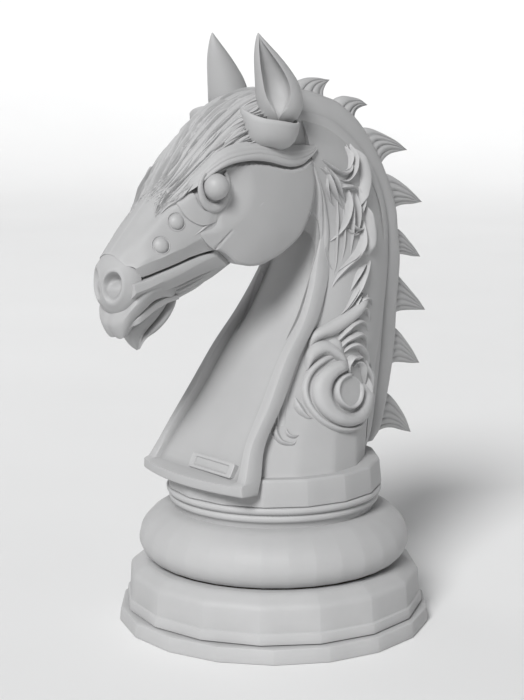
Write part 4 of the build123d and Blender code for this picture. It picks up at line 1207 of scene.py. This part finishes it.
def forelock():
    """Ridged sheet of hair over the brow, with combed locks and finer stray ones lying on it."""
    chance = random.Random(11)
    rows = []
    for u in np.linspace(0, 1, 110):
        row = []
        for v in np.linspace(-1, 1, 181):
            wave = 1.7 * math.sin(4.1 * u + 5 * abs(v)) + 0.9 * math.sin(11 * u - 9 * v) + 2.2 * u
            ridge = abs(math.sin(math.pi * (15 * v + wave)))
            fine = math.sin(math.pi * (41 * v - 2.1 * wave + 3 * math.sin(17 * u)))
            edge = ease(1.0, 0.9, u) * ease(1.0, 0.93, abs(v))
            row.append(lock_point(u, v, (3.2 * ridge ** 0.6 - 1.8 + 0.6 * fine) * edge))
        under = [lock_point(u, 1) - (3, 0, 4), lock_point(u, 0) - (0, 0, 12), lock_point(u, -1) + (3, 0, -4)]
        rows.append(row + under)
    shape = Shape().grid(rows, wrap=True, cap=(True, True))
    for line, width, height in SIDE_LOCKS:
        for side in (1, -1):
            swung = [(u, side * v) for u, v in line]
            shape.add(lock(swung, width, height, sway=0.25 * side * chance.choice((-1, 1))))
    for _ in range(STRAY_LOCKS):
        start, run = chance.uniform(0.05, 0.68), chance.uniform(0.14, 0.34)
        v = chance.uniform(0.02, 0.92)
        drift = chance.uniform(-0.08, 0.12)
        side = chance.choice((-1, 1))
        line = [(min(0.99, start + run * k / 3), side * min(0.97, v + drift * k / 3 + 0.02 * math.sin(2 * k)))
                for k in range(4)]
        width, height = chance.uniform(0.03, 0.06), chance.uniform(2.8, 5.8)
        shape.add(lock(line, width, height, 18, 5, chance.uniform(-0.5, 0.5)))
    return shape


make("forelock", forelock(), "knight", "hair_plastic", HAIR, sharp=50)


# ---------------------------------------------------------------- ears

# section centre (X, Y, Z), half width, half depth, opening half angle in degrees, pocket depth
EAR = [
    (30, -22, 396, 10, 9, 2, 0.2),
    (30.5, -21, 402, 15, 13.4, 5, 0.5),
    (31, -20.5, 409, 17.2, 15.6, 18, 3),
    (31, -21.5, 418, 17.6, 16.2, 31, 9.5),
    (31, -24, 428, 16.2, 15.0, 36, 12),
    (30.4, -28, 438, 13.2, 12.2, 36, 10.5),
    (29.4, -32, 447, 9.6, 8.8, 32, 7),
    (28.4, -35.6, 455, 5.6, 5.0, 24, 3),
    (27.8, -38, 461, 2.2, 2.0, 8, 0.4),
    (27.6, -38.8, 463.9, 0.4, 0.4, 2, 0.05),
]
EAR_TURN = math.radians(48)    # how far the opening looks outwards


def ear():
    """Pointed ear, round behind, with a pocket between two rolled edges in front."""
    along = np.array((math.cos(EAR_TURN), math.sin(EAR_TURN), 0))
    ahead = np.array((math.sin(EAR_TURN), -math.cos(EAR_TURN), 0))
    rows = []
    for x, y, z, half_w, half_d, gap, pocket in through(EAR, np.linspace(0, len(EAR) - 1, 52)):
        centre = np.array((x, y, z))
        gap = math.radians(max(gap, 1.5))
        ring = []
        for turn in np.linspace(gap, 2 * math.pi - gap, 44):
            ring.append(centre + along * half_w * math.sin(turn) + ahead * half_d * math.cos(turn))
        rim_w, rim_d = half_w * math.sin(gap), half_d * math.cos(gap)
        for s in np.linspace(-0.94, 0.94, 21):
            dip = (1 - s * s) ** 0.5
            bulge = rim_w * 0.20 * dip * s
            roll = 1.3 * min(1, rim_w / 6) * math.exp(-((abs(s) - 0.86) / 0.12) ** 2)
            deep = rim_d - pocket * dip ** 1.1 + roll
            ring.append(centre + along * (rim_w * s * 0.94 + bulge) + ahead * deep)
        rows.append(ring)
    return Shape().grid(rows, wrap=True, cap=(True, True))


make_pair("ear", ear(), "shell_plastic", SHELL, sharp=50)


def cuff():
    """Cup around the ear's root, higher at the front inner side."""
    profile = [(5, -23), (8.5, -22.4), (13.6, -19.8), (17.2, -15.5), (19.3, -10), (20.3, -4), (20.4, -0.8),
               (19.8, 0), (18.8, 0.1), (18.2, -0.8), (17.4, -5), (14, -9), (8, -11), (1, -12)]
    middle_x, middle_y, rim_z = 31, -29, 401.5
    rows = []
    for radius, drop in profile:
        row = []
        for a in around(72):
            toward = max(0.0, math.cos(a - math.radians(232))) ** 1.5
            away = max(0.0, math.cos(a - math.radians(35)))
            top = rim_z + 7.5 * toward - 4 * away ** 2
            z = top + drop * (1 + 0.30 * toward - 0.1 * away)
            ahead = 1.24 if math.sin(a) < 0 else 1.08
            reach = radius + max(0.0, 19.6 - radius) * 0.62 * toward * ease(4, 9, radius)
            row.append((middle_x + reach * math.cos(a), middle_y + reach * ahead * math.sin(a), z))
        rows.append(row)
    return Shape().grid(rows, wrap=True, cap=(True, True))


make_pair("ear_cuff", cuff(), "trim_plastic", SHELL, sharp=45)


# ---------------------------------------------------------------- floor, light and camera

FLOOR_R = 3.4              # metres, as are the other sizes from here on
COVE_R = 2.2


def pale_floor():
    """Pale round floor that turns up into a cove, so that no horizon shows."""
    turns = around(96)
    rise = [(FLOOR_R, 0.0)]
    rise += [(FLOOR_R + COVE_R * math.sin(a), COVE_R - COVE_R * math.cos(a))
             for a in np.linspace(0.06, 1.5, 24)]
    rings = Shape().grid([[(r * math.cos(a), r * math.sin(a), z) for a in turns] for r, z in rise],
                         wrap=True, cap=(True, False))
    mesh = bpy.data.meshes.new("floor")
    mesh.from_pydata(rings.verts, [], rings.faces)
    mesh.polygons.foreach_set("use_smooth", [True] * len(mesh.polygons))
    floor = bpy.data.objects.new("floor", mesh)
    bpy.context.scene.collection.objects.link(floor)
    paint = Paint("pale_floor", 0.9)
    paint.colour(paint.ramp(paint.noise(3), (0, (0.78,) * 3), last=(1, (0.82,) * 3)))
    mesh.materials.append(paint.material)


def lamp(name, kind, azimuth, elevation, power, distance=1.0, **options):
    """Light aimed at the middle of the piece; azimuth is measured like the camera's."""
    a, e = math.radians(azimuth), math.radians(elevation)
    away = Vector((math.sin(a) * math.cos(e), -math.cos(a) * math.cos(e), math.sin(e)))
    data = bpy.data.lights.new(name, kind)
    data.energy = power
    for option, value in options.items():
        setattr(data, option, value)
    light = bpy.data.objects.new(name, data)
    light.location = Vector((0, 0, 0.24)) + away * distance
    light.rotation_euler = away.to_track_quat("Z", "Y").to_euler()
    bpy.context.scene.collection.objects.link(light)


def studio_world():
    """Soft even light from all round, and plain colour reproduction."""
    world = bpy.data.worlds.new("studio")
    world.use_nodes = True
    background = world.node_tree.nodes["Background"]
    background.inputs["Color"].default_value = (0.80, 0.81, 0.82, 1)
    background.inputs["Strength"].default_value = 0.26
    bpy.context.scene.world = world
    bpy.context.scene.view_settings.view_transform = "Standard"


def main_camera(place, azimuth, pitch, lens):
    """Camera looking down by pitch, from the side that azimuth gives; angles in degrees."""
    data = bpy.data.cameras.new("camera")
    data.sensor_width = 36
    data.lens = lens
    data.clip_end = 30
    camera = bpy.data.objects.new("camera", data)
    a, p = math.radians(azimuth), math.radians(pitch)
    look = Vector((-math.sin(a) * math.cos(p), math.cos(a) * math.cos(p), -math.sin(p)))
    camera.location = place
    camera.rotation_euler = look.to_track_quat("-Z", "Y").to_euler()
    bpy.context.scene.collection.objects.link(camera)
    bpy.context.scene.camera = camera


pale_floor()
lamp("key", "SUN", 30, 38, 3.3, angle=math.radians(20))
lamp("back", "AREA", -80, 30, 5, 2.4, shape="DISK", size=1.4)
studio_world()
main_camera((1.0725, -0.8999, 0.471), 50.39, 10.3, 92.5)
